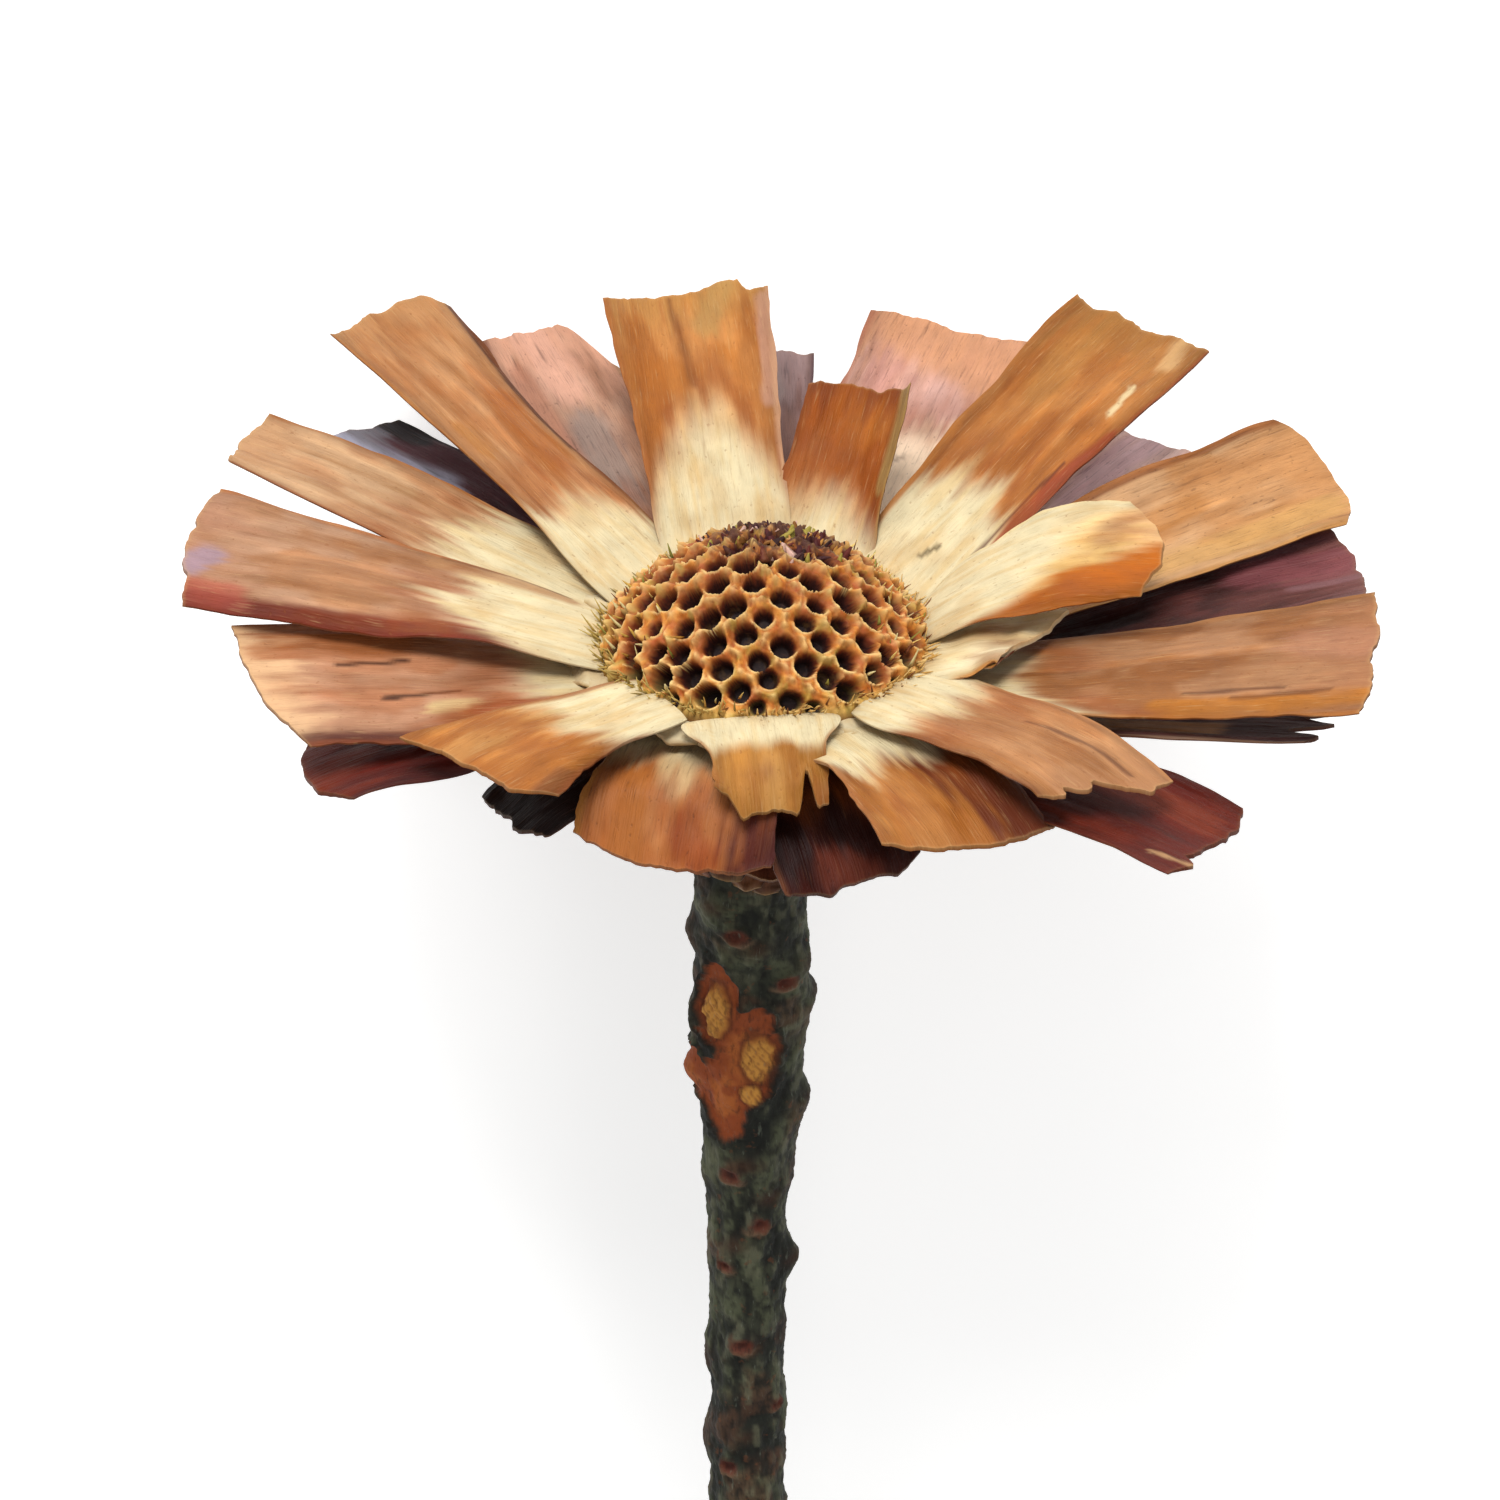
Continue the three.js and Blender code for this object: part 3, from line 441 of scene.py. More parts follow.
outerRow = [
    dict(level=3, az=11.5, rootAz=13, reach=54.2, rise=3, widths=(5.6, 10.5, 12), bow=0.6, cup=0.8,
         twist=10,
         tip=((-1, 0.8), (0, 0), (0.5, 0.4), (1, 1.4)),
         cream=(0.2, 0.2, 0.2), zig=1,
         body="44221F", second="6A3834", tipTint="82524E", edge=("7A5A58", "3A1C1E"),
         strokes=[(0.8, 0.2, 0.96, 0.0, 2.6, "8E5054", 0.7), (0.85, -0.4, 1, -0.4, 0.6, "8A6468", 0.5),
                  (0.75, 0.5, 0.98, 0.6, 0.5, "845A60", 0.5)]),
    dict(level=2, az=21, rootAz=26, reach=55, rise=7, widths=(6.6, 12.5, 12.5), bow=1, cup=1, twist=22,
         curl=(0, 0.8, 0), ragged=0.45,
         tip=((-1, 2.0), (-0.8, 0.6), (-0.5, 0.2), (0, 0.2), (0.6, 0.5), (0.85, 1.4), (1, 2.6)),
         cream=(0.3, 0.3, 0.26), zig=1.8,
         body="D29A68", second="DEB084", tipTint="D69C6A", edge=("C08A50", "A8683A"),
         strokes=[(0.4, 0.96, 0.95, 0.95, 0.3, "9A5A30", 0.8),
                  (0.45, -0.6, 0.95, -0.6, 2.0, "D3A468", 0.7), (0.4, 0.2, 0.7, 0.3, 1.6, "BA7C44", 0.6)]),
    dict(level=3, az=45, rootAz=45, reach=52, rise=2, widths=(6, 12, 12), cup=1.2,
         tip=((-1, 0.6), (0, 0), (1, 1.0)),
         cream=(0.2, 0.2, 0.2), zig=1,
         # Its body is lifted near white, above the blade's own pink: painted light against the inner blade's
         # shade.
         body="FFD4C8", second="FFE0D6", tipTint="FCD4C8", edge=("B08488", "D0A8AC"),
         strokes=[(0.75, 0.2, 0.98, 0.1, 2.4, "F0C8D0", 0.7)]),
    dict(level=2, az=68, rootAz=66, reach=52.1, rise=8.5, widths=(6.6, 16, 19), cup=1,
         tip=((-1, 1.4), (-0.6, 1.0), (0.2, 0.6), (0.6, 0), (0.85, 0.2), (1, 0.8)),
         cream=(0.62, 0.58, 0.54), zig=1.6, soft=4,
         # The first mark, a near-white patch on the foot, is painted light against the shade cast there by
         # the inner blade.
         marks=[(0.2, 0.1, 0.56, 0.0, 4.0, "FFE2C4", 0.9), (0.52, 0.3, 0.56, 0.0, 0.3, "6A5048", 0.5)],
         body="C89486", second="D8A896", tipTint="DDA27A", edge=("B87A60", "A86A50"),
         strokes=[(0.84, -0.6, 0.98, 0.6, 3.0, "DCA07A", 0.8), (0.55, 0.1, 0.72, 0.0, 3.0, "DCB0A4", 0.7),
                  (0.52, 0.3, 0.56, 0.05, 0.35, "4A2A28", 0.6), (0.3, 0.2, 0.5, 0.2, 3.0, "E9DCC8", 0.7)]),
    dict(level=3, az=90, rootAz=90, reach=46.5, rise=7, widths=(5, 8, 9), cup=0.4,
         tip=((-1, 0.4), (0, 0), (1, 0.6)),
         cream=(0.1, 0.1, 0.1), zig=1,
         body="7E5E58", second="967670", tipTint="A48A88", edge=("50363C", "50363C"),
         strokes=[(0.85, -0.2, 0.97, 0.1, 1.6, "A89490", 0.7)]),
    dict(level=2, az=114, rootAz=113, reach=52.4, rise=8.5, widths=(7, 13.4, 12), cup=1,
         tip=((-1, 12), (-0.7, 6.5), (-0.45, 1.2), (-0.3, 0), (0.3, 0.4), (1, 1.2)),
         cream=(0.3, 0.3, 0.3), zig=1.2,
         body="A87A62", second="C09880", tipTint="E4AC90", edge=("8A7840", "7A4838"),
         strokes=[(0.8, 0.1, 0.97, 0.2, 2.4, "EAB49C", 0.8), (0.7, -0.9, 0.97, -0.8, 1.0, "8E7C42", 0.8),
                  (0.45, 0.1, 0.65, 0.1, 2.4, "988880", 0.7), (0.55, 0.6, 0.85, 0.7, 1.6, "B57A62", 0.6)]),
    dict(level=2, az=138.8, rootAz=140, reach=54, rise=4, widths=(7, 13, 10), cup=1.5,
         tip=((-1, 3.4), (-0.3, 1.2), (0.3, 0.2), (0.8, 0), (1, 0.4)),
         cream=(0.2, 0.2, 0.2), zig=1,
         body="4A2226", second="63323A", tipTint="8A8A92", edge=("1E1416", "5A2024"),
         # The first stroke, a pale blue-grey band, is a painted sheen.
         strokes=[(0.7, -0.3, 0.97, 0.1, 2.0, "B0B0C2", 0.8), (0.4, -0.8, 0.85, -0.75, 1.8, "54202A", 0.9),
                  (0.84, -0.85, 1, -0.85, 1.2, "140E10", 0.9), (0.4, 0.7, 0.8, 0.8, 1.6, "7A2A2C", 0.6)]),
    dict(level=2, az=-160, rootAz=-158, reach=42.5, rise=-6.2, widths=(6, 12, 12), bow=1.6, ragged=0.5,
         tip=((-1, 2.4), (-0.5, 0.5), (0, 0), (0.5, 0.4), (1, 2.6)),
         cream=(0.1, 0.1, 0.1), zig=1,
         body="4E0E05", second="6A1A0C", tipTint="76260F", edge=("5A2018", "4A1A14"),
         strokes=[(0.85, 0.0, 0.97, 0.3, 1.6, "7E3626", 0.6)]),
    dict(level=3, az=-144, rootAz=-142, reach=28, rise=-9.6, widths=(6, 11, 9), bow=1.6,
         tip=((-1, 0.6), (0, 0.4), (0.4, 0), (1, 1.2)),
         cream=(0.05, 0.05, 0.05), zig=1,
         body="190C0B", second="241210", tipTint="1C0F0E", edge=("1C0E0E", "3A2A26")),
    dict(level=2, az=-109, rootAz=-112, reach=25.5, rise=-9.4, widths=(7, 16.5, 17), bow=3, cup=-0.6,
         ragged=0.5,
         tip=((-1, 1.8), (-0.6, 0.4), (-0.2, 0), (0.3, 0), (0.7, 0.3), (1, 1.4)),
         cream=(0.3, 0.34, 0.2), zig=1.4,
         body="BA764A", second="CA8C5C", tipTint="B46A3C", edge=("B4783E", "4A1814"),
         strokes=[(0.3, 0.9, 0.97, 0.9, 3.6, "50120C", 0.95), (0.35, -0.2, 0.5, -0.1, 1.8, "E2C190", 0.8),
                  (0.6, -0.5, 0.9, -0.5, 2.0, "BC7440", 0.7), (0.8, 0.1, 0.95, 0.3, 1.6, "8E3C22", 0.6)]),
    dict(level=3, az=-70, rootAz=-77, reach=23.5, rise=-12.6, widths=(6, 13, 13), bow=2, ragged=0.45,
         tip=((-1, 0.8), (-0.4, 0), (0.2, 0.5), (0.6, 0.2), (1, 1.6)),
         cream=(0.05, 0.05, 0.05), zig=1,
         body="2C0C08", second="40140E", tipTint="48180F", edge=("7A4A34", "2C1210"),
         strokes=[(0.85, -0.3, 0.98, 0.2, 1.6, "7A3A2A", 0.6)]),
    dict(level=3, az=-33, rootAz=-37, reach=46.5, rise=-6.8, widths=(6.5, 14, 14), bow=2, ragged=0.6,
         tip=((-1, 1.0), (-0.7, 0), (-0.4, 0.9), (0, 0.5), (0.5, 0), (1, 1.6)), slits=[(-0.55, 0.8, 0.4)],
         cream=(0.1, 0.1, 0.1), zig=1,
         body="5C1A10", second="702A1C", tipTint="66241A", edge=("6A2A1E", "5A2018"),
         strokes=[(0.9, -0.8, 1, -0.72, 0.3, "C49A70", 0.8), (0.6, 0.2, 0.9, 0.3, 2.4, "8C402C", 0.6)]),
    dict(level=2, az=-14, rootAz=-15, reach=51.5, rise=-2, widths=(5.5, 9, 5), cup=0.6, twist=10,
         tip=((-1, 2.4), (-0.5, 0.6), (-0.2, 1.6), (0.1, 0), (0.4, 1.4), (1, 0.4)),
         slits=[(-0.35, 3.0, 0.5), (0.35, 2.2, 0.5)],
         cream=(0.2, 0.2, 0.2), zig=1,
         body="4A2420", second="5E3430", tipTint="3E2624", edge=("8A6A54", "3A1A18"),
         strokes=[(0.3, -0.5, 0.72, -0.4, 1.5, "C08A5C", 0.9)]),
]


def aroundAxis(az, radius, height):
    # a point from its azimuth round the flower's axis, its radius and its height
    return np.array([radius * math.cos(math.radians(az)), radius * math.sin(math.radians(az)), height])


def bladeRoot(b):
    # radius and height of the foot: given, or by the blade's level down the cone
    if "root" in b:
        return b["root"]
    return (rowRoots["radius"] - rowRoots["radiusStep"] * b["level"],
            rowRoots["height"] - rowRoots["heightStep"] * b["level"])


def bladeLines(b):
    # the foot, the run from there to the tip, and the directions across the blade and out of its face
    root = aroundAxis(b.get("rootAz", b["az"]), *bladeRoot(b))
    run = aroundAxis(b["az"], b["reach"], b["rise"]) - root
    across = np.array([-run[1], run[0], 0]) / math.hypot(run[0], run[1])
    return root, run, across, np.cross(run / np.linalg.norm(run), across)


def bladePoints(b, s, v, lift):
    # P = root + run s + across x + up y. Half the width is a parabola through the widths at foot,
    # middle and tip, more at the foot. The face bows along its length, cups up at its sides and turns
    # about its length.
    root, run, across, up = bladeLines(b)
    w0, w1, w2 = b["widths"]
    half = 0.5 * (w0 * (1 - s) * (1 - 2 * s) + w1 * 4 * s * (1 - s) + w2 * s * (2 * s - 1))
    half = half * (1 + b.get("foot", footWidening["amount"]) * hill(s, footWidening["share"]))
    lift = lift + b.get("cup", 0) * v * v * smooth(s, 0, rowRoots["footShare"])
    lift = lift + footWidening["lift"] * hill(s, footWidening["liftShare"])
    turn = math.radians(b.get("twist", 0)) * s
    s = s * (1 + b.get("slant", 0) * v)
    x = v * half * np.cos(turn) - lift * np.sin(turn)
    y = v * half * np.sin(turn) + lift * np.cos(turn) + b.get("bow", 0) * 4 * s * (1 - s)
    points = root + run * s[..., None] + across * x[..., None] + up * y[..., None]
    return points, v * half, s * np.linalg.norm(run)


bladeWear = {"tears": (0.55, 0.25), "tearsPerMm": (0.8, 2.6), "edgeWander": 0.12, "ridges": 0.34,
             "wave": 1.3}


def tornShape(b, seed, along, across):
    # Grids of t, the share of the uncut length, and of s and v. Rows lie a little closer towards the tip
    # and columns towards the long edges. The tip is cut back by its profile, its slits and fine tears,
    # squeezed into the outer part of the blade as s = t - torn t^3 / length. The long edges wander a
    # little.
    t = np.linspace(0, 1, along)[:, None] ** 0.95 * np.ones((1, across))
    w = np.linspace(-1, 1, across)[None, :]
    v = (0.65 * w + 0.35 * np.sin(w * math.pi / 2)) * np.ones((along, 1))
    length = np.linalg.norm(bladeLines(b)[1])
    acrossTip = v * 0.5 * b["widths"][2]
    (coarse, fine), (coarsePitch, finePitch) = bladeWear["tears"], bladeWear["tearsPerMm"]
    tears = (valueNoise(acrossTip * coarsePitch + 20, v * 0 + 3, seed) * coarse
             + valueNoise(acrossTip * finePitch + 9, v * 0 + 8, seed + 1) * fine)
    places, cuts = zip(*b["tip"])
    torn = np.interp(v, places, cuts) + tears * b.get("ragged", 1.0)
    for centre, depth, width in b.get("slits", []):
        torn = torn + depth * hill((v - centre) * 0.5 * b["widths"][2], width)
    s = t - torn / length * t ** 3
    wander = (layeredNoise(t * 6 + 3, np.sign(w) + 5 + 0 * t, seed + 2) - 0.5) * bladeWear["edgeWander"]
    v = v * (1 + wander * np.abs(v) ** 3 * smooth(t, 0.15, 0.4))
    return t, s, v


def bladeRelief(b, seed, t, v):
    # mm out of the face: ridges along the fibres, a slow wave along the blade, and curls at the edges,
    # as v^4, and at the tip, as t^6
    acrossMm = v * 0.5 * b["widths"][1]
    ridges = (layeredNoise(acrossMm * 1.3 + 30, t * 3 + 5, seed + 4) - 0.5) * bladeWear["ridges"]
    wave = (layeredNoise(t * 3.2 + 9, v * 1.1 + 6, seed + 5, 2) - 0.5) * bladeWear["wave"]
    low, high, tip = b.get("curl", (0.0, 0.0, 0.0))
    edges = low * np.clip(-v, 0, 1) ** 4 + high * np.clip(v, 0, 1) ** 4
    return (ridges * smooth(t, 0.05, 0.3) + wave * smooth(t, 0.1, 0.5) + edges * smooth(t, 0.25, 0.6)
            + tip * t ** 6)


def withStrokes(colour, strokes, v, acrossMm, alongMm, fibre):
    # a stroke is all that lies within its width of a straight line, with an edge frayed by the fibres
    length = alongMm.max()
    halfHere = np.maximum(np.abs(acrossMm / np.where(np.abs(v) < 1e-3, 1e-3, v)), 1)
    for s1, v1, s2, v2, width, hexColour, strength in strokes:
        toX, toY = v * halfHere - v1 * halfHere, alongMm - s1 * length
        runX, runY = v2 * halfHere - v1 * halfHere, s2 * length - s1 * length
        share = np.clip((toX * runX + toY * runY) / (runX ** 2 + runY ** 2), 0, 1)
        away = np.hypot(toX - share * runX, (toY - share * runY) * 0.7) + (fibre - 0.5) * width * 0.9
        colour = blendTo(colour, hexColour, strength * smooth(away, width * 1.15, width * 0.45))
    return colour


bladeShades = {"second": 0.8, "darkStreak": 0.26, "darkFibre": 0.15, "darkByChannel": (0.75, 1.0, 1.25),
               "lightStreak": 0.22, "tipTint": 0.8, "paintedEdgeDarkening": 0.28, "scorch": "94502A",
               "scorchShare": 0.6, "edge": 0.8, "torn": "D9B07C", "tornShare": 0.3, "outerTornShare": 0.08}
creamFoot = {"colour": "EADAB2", "second": "DFC08A", "deep": "CDA062", "teeth": 2.5, "fray": 2.2,
             "soft": 2.2}
bladeBelly = {"colour": "6A3A28", "second": "8A5A40", "pale": "9C8A84"}


def bellyPaint(b, t, cloud, fibre):
    # the back: dull brown, paler along the fibres, with the blade's own colour at its torn tip
    colour = evenColour(b.get("belly", bladeBelly["colour"]), t.shape)
    colour = blendTo(colour, bladeBelly["second"], smooth(cloud, 0.45, 0.65) * 0.7)
    colour = blendTo(colour, bladeBelly["pale"], smooth(fibre, 0.6, 0.8) * 0.35)
    return blendTo(colour, b["body"], smooth(t, 0.9, 1.0) * 0.5)


def bladePaint(b, seed, t, s, v, acrossMm, alongMm, under):
    # The blade's own colours, streaked along its fibres, then the pale foot with its toothed end, painted
    # shade along both long edges, their coloured rims and the torn tip. under is 1 on the back, which has
    # the belly's colours.
    fibre = layeredNoise(acrossMm * 2.2 + 40, alongMm * 0.16 + 2, seed + 7)
    cloud = layeredNoise(acrossMm * 0.35 + 4, alongMm * 0.18 + 9, seed + 9)
    streak = layeredNoise(acrossMm * 0.75 + 70, alongMm * 0.045 + 5, seed + 13)
    length = alongMm.max()
    colour = evenColour(b["body"], v.shape)
    colour = blendTo(colour, b["second"], smooth(cloud, 0.4, 0.62) * bladeShades["second"])
    dark = (bladeShades["darkStreak"] * smooth(streak, 0.5, 0.3)
            + bladeShades["darkFibre"] * smooth(fibre, 0.45, 0.25))
    colour = colour * (1 - dark[..., None] * np.array(bladeShades["darkByChannel"]))
    colour = colour * (1 + bladeShades["lightStreak"] * smooth(streak, 0.55, 0.7))[..., None]
    nearTip = smooth(t + (fibre - 0.5) * 0.3, 0.8, 1.0)
    colour = blendTo(colour, b["tipTint"], nearTip * bladeShades["tipTint"])
    colour = withStrokes(colour, b.get("strokes", []), v, acrossMm, alongMm, fibre)

    low, middle, high = b["cream"]
    reach = middle + (np.where(v < 0, low, high) - middle) * v * v
    teeth = valueNoise(acrossMm * 0.62 + 50, alongMm * 0.05 + 3, seed + 11) - 0.5
    zigzag = (teeth * creamFoot["teeth"] + (fibre - 0.5) * creamFoot["fray"]) * b["zig"]
    inside = reach + zigzag / length - s
    soft = b.get("soft", creamFoot["soft"]) / length
    creamMask = smooth(inside, -soft, soft)
    cream = evenColour(creamFoot["colour"], v.shape)
    cream = blendTo(cream, creamFoot["second"], smooth(fibre, 0.45, 0.75) * 0.6)
    cream = blendTo(cream, creamFoot["deep"], smooth(cloud, 0.5, 0.75) * 0.35)
    colour = colour + (cream - colour) * creamMask[..., None]
    colour = withStrokes(colour, b.get("marks", []), v, acrossMm, alongMm, fibre)

    # painted shade that darkens both long edges, less on the pale foot
    paintedEdgeShade = smooth(np.abs(v), 0.7, 1.0) * (1 - 0.75 * creamMask)
    colour = colour * (1 - paintedEdgeShade * bladeShades["paintedEdgeDarkening"])[..., None]
    past = inside * length
    scorch = smooth(past, -0.5, -3.5) * smooth(past, -9.0, -4.0) * smooth(streak + cloud, 0.8, 1.15)
    colour = blendTo(colour, bladeShades["scorch"], scorch * bladeShades["scorchShare"])
    for side, hexColour in zip((-1, 1), b["edge"]):
        nearEdge = smooth(v * side, 0.92, 0.98) * smooth(s, 0.14, 0.32)
        colour = blendTo(colour, hexColour, nearEdge * bladeShades["edge"])
    tornPale = smooth(t, 0.988, 1.0) * b.get("tornPale", bladeShades["tornShare"])
    colour = blendTo(colour, bladeShades["torn"], tornPale)
    belly = bellyPaint(b, t, cloud, fibre)
    return colour + (belly - colour) * (under * (1 - 0.6 * creamMask))[..., None]


def bladeShell(b, seed, along=bladeGrid["along"], across=bladeGrid["across"]):
    # Two like grids, half the thickness over and under the blade's middle, joined round their edge:
    # points, quads, colours, places on the fibre map and the sharp edges.
    t, s, v = tornShape(b, seed, along, across)
    edge = bladeGrid["edgeThickness"]
    thick = bladeGrid["rootThickness"] + (bladeGrid["tipThickness"] - bladeGrid["rootThickness"]) * t
    thick = edge + (thick - edge) * (1 - np.abs(v) ** 5)
    relief = bladeRelief(b, seed, t, v)
    points, tints, uvs = [], [], []
    for side, under in ((1, 0.0), (-1, 1.0)):
        place, acrossMm, alongMm = bladePoints(b, s, v, relief + side * thick / 2)
        points.append(place.reshape(-1, 3))
        tints.append(bladePaint(b, seed, t, s, v, acrossMm, alongMm, under).reshape(-1, 3))
        uvs.append(np.stack([acrossMm / 10 + seed * 0.37, alongMm / 10 + seed * 0.73], -1).reshape(-1, 2))
    size = along * across
    grid = np.arange(size).reshape(along, across)
    loop = np.concatenate([grid[:-1, 0], grid[-1, :-1], grid[:0:-1, -1], grid[0, :0:-1]])
    nextLoop = np.roll(loop, -1)
    rim = np.stack([loop, loop + size, nextLoop + size, nextLoop], -1)
    faces = [gridFaces(along, across), gridFaces(along, across, size, flip=True), rim]
    sharp = np.stack([loop, nextLoop], -1)
    return (np.concatenate(points), faces, np.concatenate(tints), np.concatenate(uvs),
            np.concatenate([sharp, sharp + size]))


def makeBracts(row, name, node, material, firstSeed, **grid):
    for k, b in enumerate(row):
        points, faces, tint, uv, sharp = bladeShell(b, firstSeed + k, **grid)
        meshPiece(f"{name}{k + 1:02d}", f"{node}_{k + 1}", node, material, points, faces, tint, uv, sharp)


print("bracts")
makeBracts(innerRow, "innerBlade", "inner_bract", bladeMaterials["inner"], 200)
for b in outerRow:
    b["tornPale"] = bladeShades["outerTornShare"]
makeBracts(outerRow, "outerBlade", "outer_bract", bladeMaterials["outer"], 300)

# Short blades further down the cone, by the frame's rule: long and lifted at the back.
lowerBlade = {"count": 10, "firstLevel": 4, "reach": 24, "backReach": 7, "rise": -8.2, "backRise": 5.8,
              "levelDrop": 1.2, "jitter": 0.2, "seed": 7, "along": 48, "across": 24}
lowerLook = {"widths": (5, 8.5, 6), "bow": 0.4, "cup": 0.3, "foot": 0.1,
             "tip": ((-1, 1.4), (-0.3, 0.2), (0.3, 0), (1, 1.2)), "cream": (0.05, 0.05, 0.05), "zig": 1,
             "body": "5A2C20", "second": "6E3C2A", "tipTint": "7A4A34", "edge": ("3A1C14", "3A1C14"),
             "belly": "4A2A20"}


def frameRandom(seed):
    # the frame's own even random numbers, so that both place the same blades
    state = seed
    while True:
        state = (state + 0x6D2B79F5) & 0xFFFFFFFF
        mixed = ((state ^ (state >> 15)) * (1 | state)) & 0xFFFFFFFF
        mixed = ((mixed + (((mixed ^ (mixed >> 7)) * (61 | mixed)) & 0xFFFFFFFF)) & 0xFFFFFFFF) ^ mixed
        yield ((mixed ^ (mixed >> 14)) & 0xFFFFFFFF) / 4294967296


def lowerRow():
    # Even steps round the cone, moved a little by chance, on two levels in turn. Reach and rise go with
    # the sine of the azimuth, which is 1 at the back.
    chance = frameRandom(lowerBlade["seed"])
    row = []
    for k in range(lowerBlade["count"]):
        step = k % 2
        az = (360 / lowerBlade["count"]) * (k + 0.5 + lowerBlade["jitter"] * next(chance))
        back = math.sin(math.radians(az))
        reach = lowerBlade["reach"] + lowerBlade["backReach"] * back
        rise = lowerBlade["rise"] + lowerBlade["backRise"] * back - lowerBlade["levelDrop"] * step
        row.append(dict(lowerLook, level=lowerBlade["firstLevel"] + step, az=az, reach=reach, rise=rise))
    return row


makeBracts(lowerRow(), "lowerBlade", "lower_bract", bladeMaterials["lower"], 400,
           along=lowerBlade["along"], across=lowerBlade["across"])

disc = {"rim": 14.8, "dome": 9.7, "round": 0.9, "sides": 520, "domeRows": 150, "flankRows": 14,
        "flankTop": (15.2, -0.8), "flankFoot": (5.5, -21.0), "pitch": 2.85, "depth": 2.0, "pitRadius": 1.03,
        "crest": 0.22, "peak": 0.75, "lump": 0.7, "lip": 0.25, "pitShift": 0.8}
# The lip colour is a painted highlight; the colour behind each pit and the pit colours are painted shade.
discColours = {"wall": "AC5C14", "light": "D68C38", "dark": "8A4818", "olive": "968634", "red": "B4542C",
               "paintedShadeBehindPit": "84451A", "lip": "EBCB86", "pitMouth": "722E10", "pitWallShade": "36110B",
               "pitFloorShade": "1C0908", "crown": "3A1412", "rim": "C8B060", "flank": "6E4424", "foot": "5A3820"}
crown = {"middle": (1.0, 3.0), "halfSize": (7.5, 6.5)}
goldenAngle = math.radians(180 * (3 - math.sqrt(5)))


def roundAxis(radius, az, height):
    # rings of points from a profile of radii and heights
    return np.stack([radius * np.cos(az), radius * np.sin(az), height * np.ones_like(az)], -1)


def domeShape(radius):
    # height = dome (1 - (r / rim)^2)^round, and how steeply it falls there
    inside = np.maximum(1 - (radius / disc["rim"]) ** 2, 1e-4)
    slope = 2 * disc["round"] * disc["dome"] * radius * inside ** (disc["round"] - 1) / disc["rim"] ** 2
    return disc["dome"] * inside ** disc["round"], slope


def domeFacing(points):
    # the direction straight out of the dome: (x / r slope, y / r slope, 1) made a unit long
    radius = np.maximum(np.hypot(points[:, 0], points[:, 1]), 1e-6)
    slope = domeShape(radius)[1]
    x, y = points[:, 0] / radius * slope, points[:, 1] / radius * slope
    return unit(np.stack([x, y, np.ones_like(radius)], -1))


def pitCentres():
    # Each pit is a golden angle on from the last, on rings that give all the same share of the dome's
    # area, then shifted a little.
    steps = 200
    radius = disc["rim"] * (np.arange(1, steps + 1) - 0.5) / steps
    stretch = np.hypot(1, domeShape(radius)[1])
    area = np.concatenate([[0], np.cumsum(2 * math.pi * radius * stretch * disc["rim"] / steps)])
    share = math.sqrt(3) / 2 * disc["pitch"] ** 2
    turns = np.arange(int(area[-1] / share))
    ring = disc["rim"] * np.searchsorted(area, (turns + 0.5) * share) / steps
    az = turns * goldenAngle
    centres = np.stack([ring * np.cos(az), ring * np.sin(az), domeShape(ring)[0]], -1)
    return centres + (np.random.RandomState(9).rand(len(centres), 3) - 0.5) * disc["pitShift"]


def honeycomb(points):
    # What the relief and the colours share, for each point of the dome: how far it lies from the three
    # nearest pits, how wide and deep its own is, and the masks of the pit, its lip, the crests where two
    # pits are equally near and the peaks where three are.
    centres = pitCentres()
    distances = np.linalg.norm(points[:, None] - centres[None], axis=2)
    near, second, third = np.sort(distances, axis=1)[:, :3].T
    which = np.argmin(distances, axis=1)
    chanceOf = np.random.RandomState(5).rand(len(centres))[which]
    wobble = layeredNoise(points[:, 0] * 1.1 + 30, points[:, 1] * 1.1 + 30, 3) - 0.5
    lump = layeredNoise(points[:, 0] * 2.4 + 11, points[:, 1] * 2.4 + 7, 8) - 0.5
    offRim = smooth(points[:, 2], 0.2, 1.4)
    width = disc["pitRadius"] * (0.84 + 0.34 * chanceOf) * (0.75 + 0.25 * offRim)
    toFront = (centres[which, 1] - points[:, 1]) / np.maximum(near, 0.1)
    return {
        "wobble": wobble,
        "lump": lump,
        "outside": near - width,
        "toFront": toFront,
        "depth": disc["depth"] * (0.8 + 0.35 * chanceOf) * (0.35 + 0.65 * offRim),
        "sunk": smooth(width - near + wobble * 0.3, -0.14, 0.26),
        "lip": hill(near - width - 0.18, 0.13) * smooth(toFront, -0.2, 0.7),
        "crest": hill((second - near) / 2 + wobble * 0.12, 0.2),
        "peak": hill(third - near, 0.55),
    }


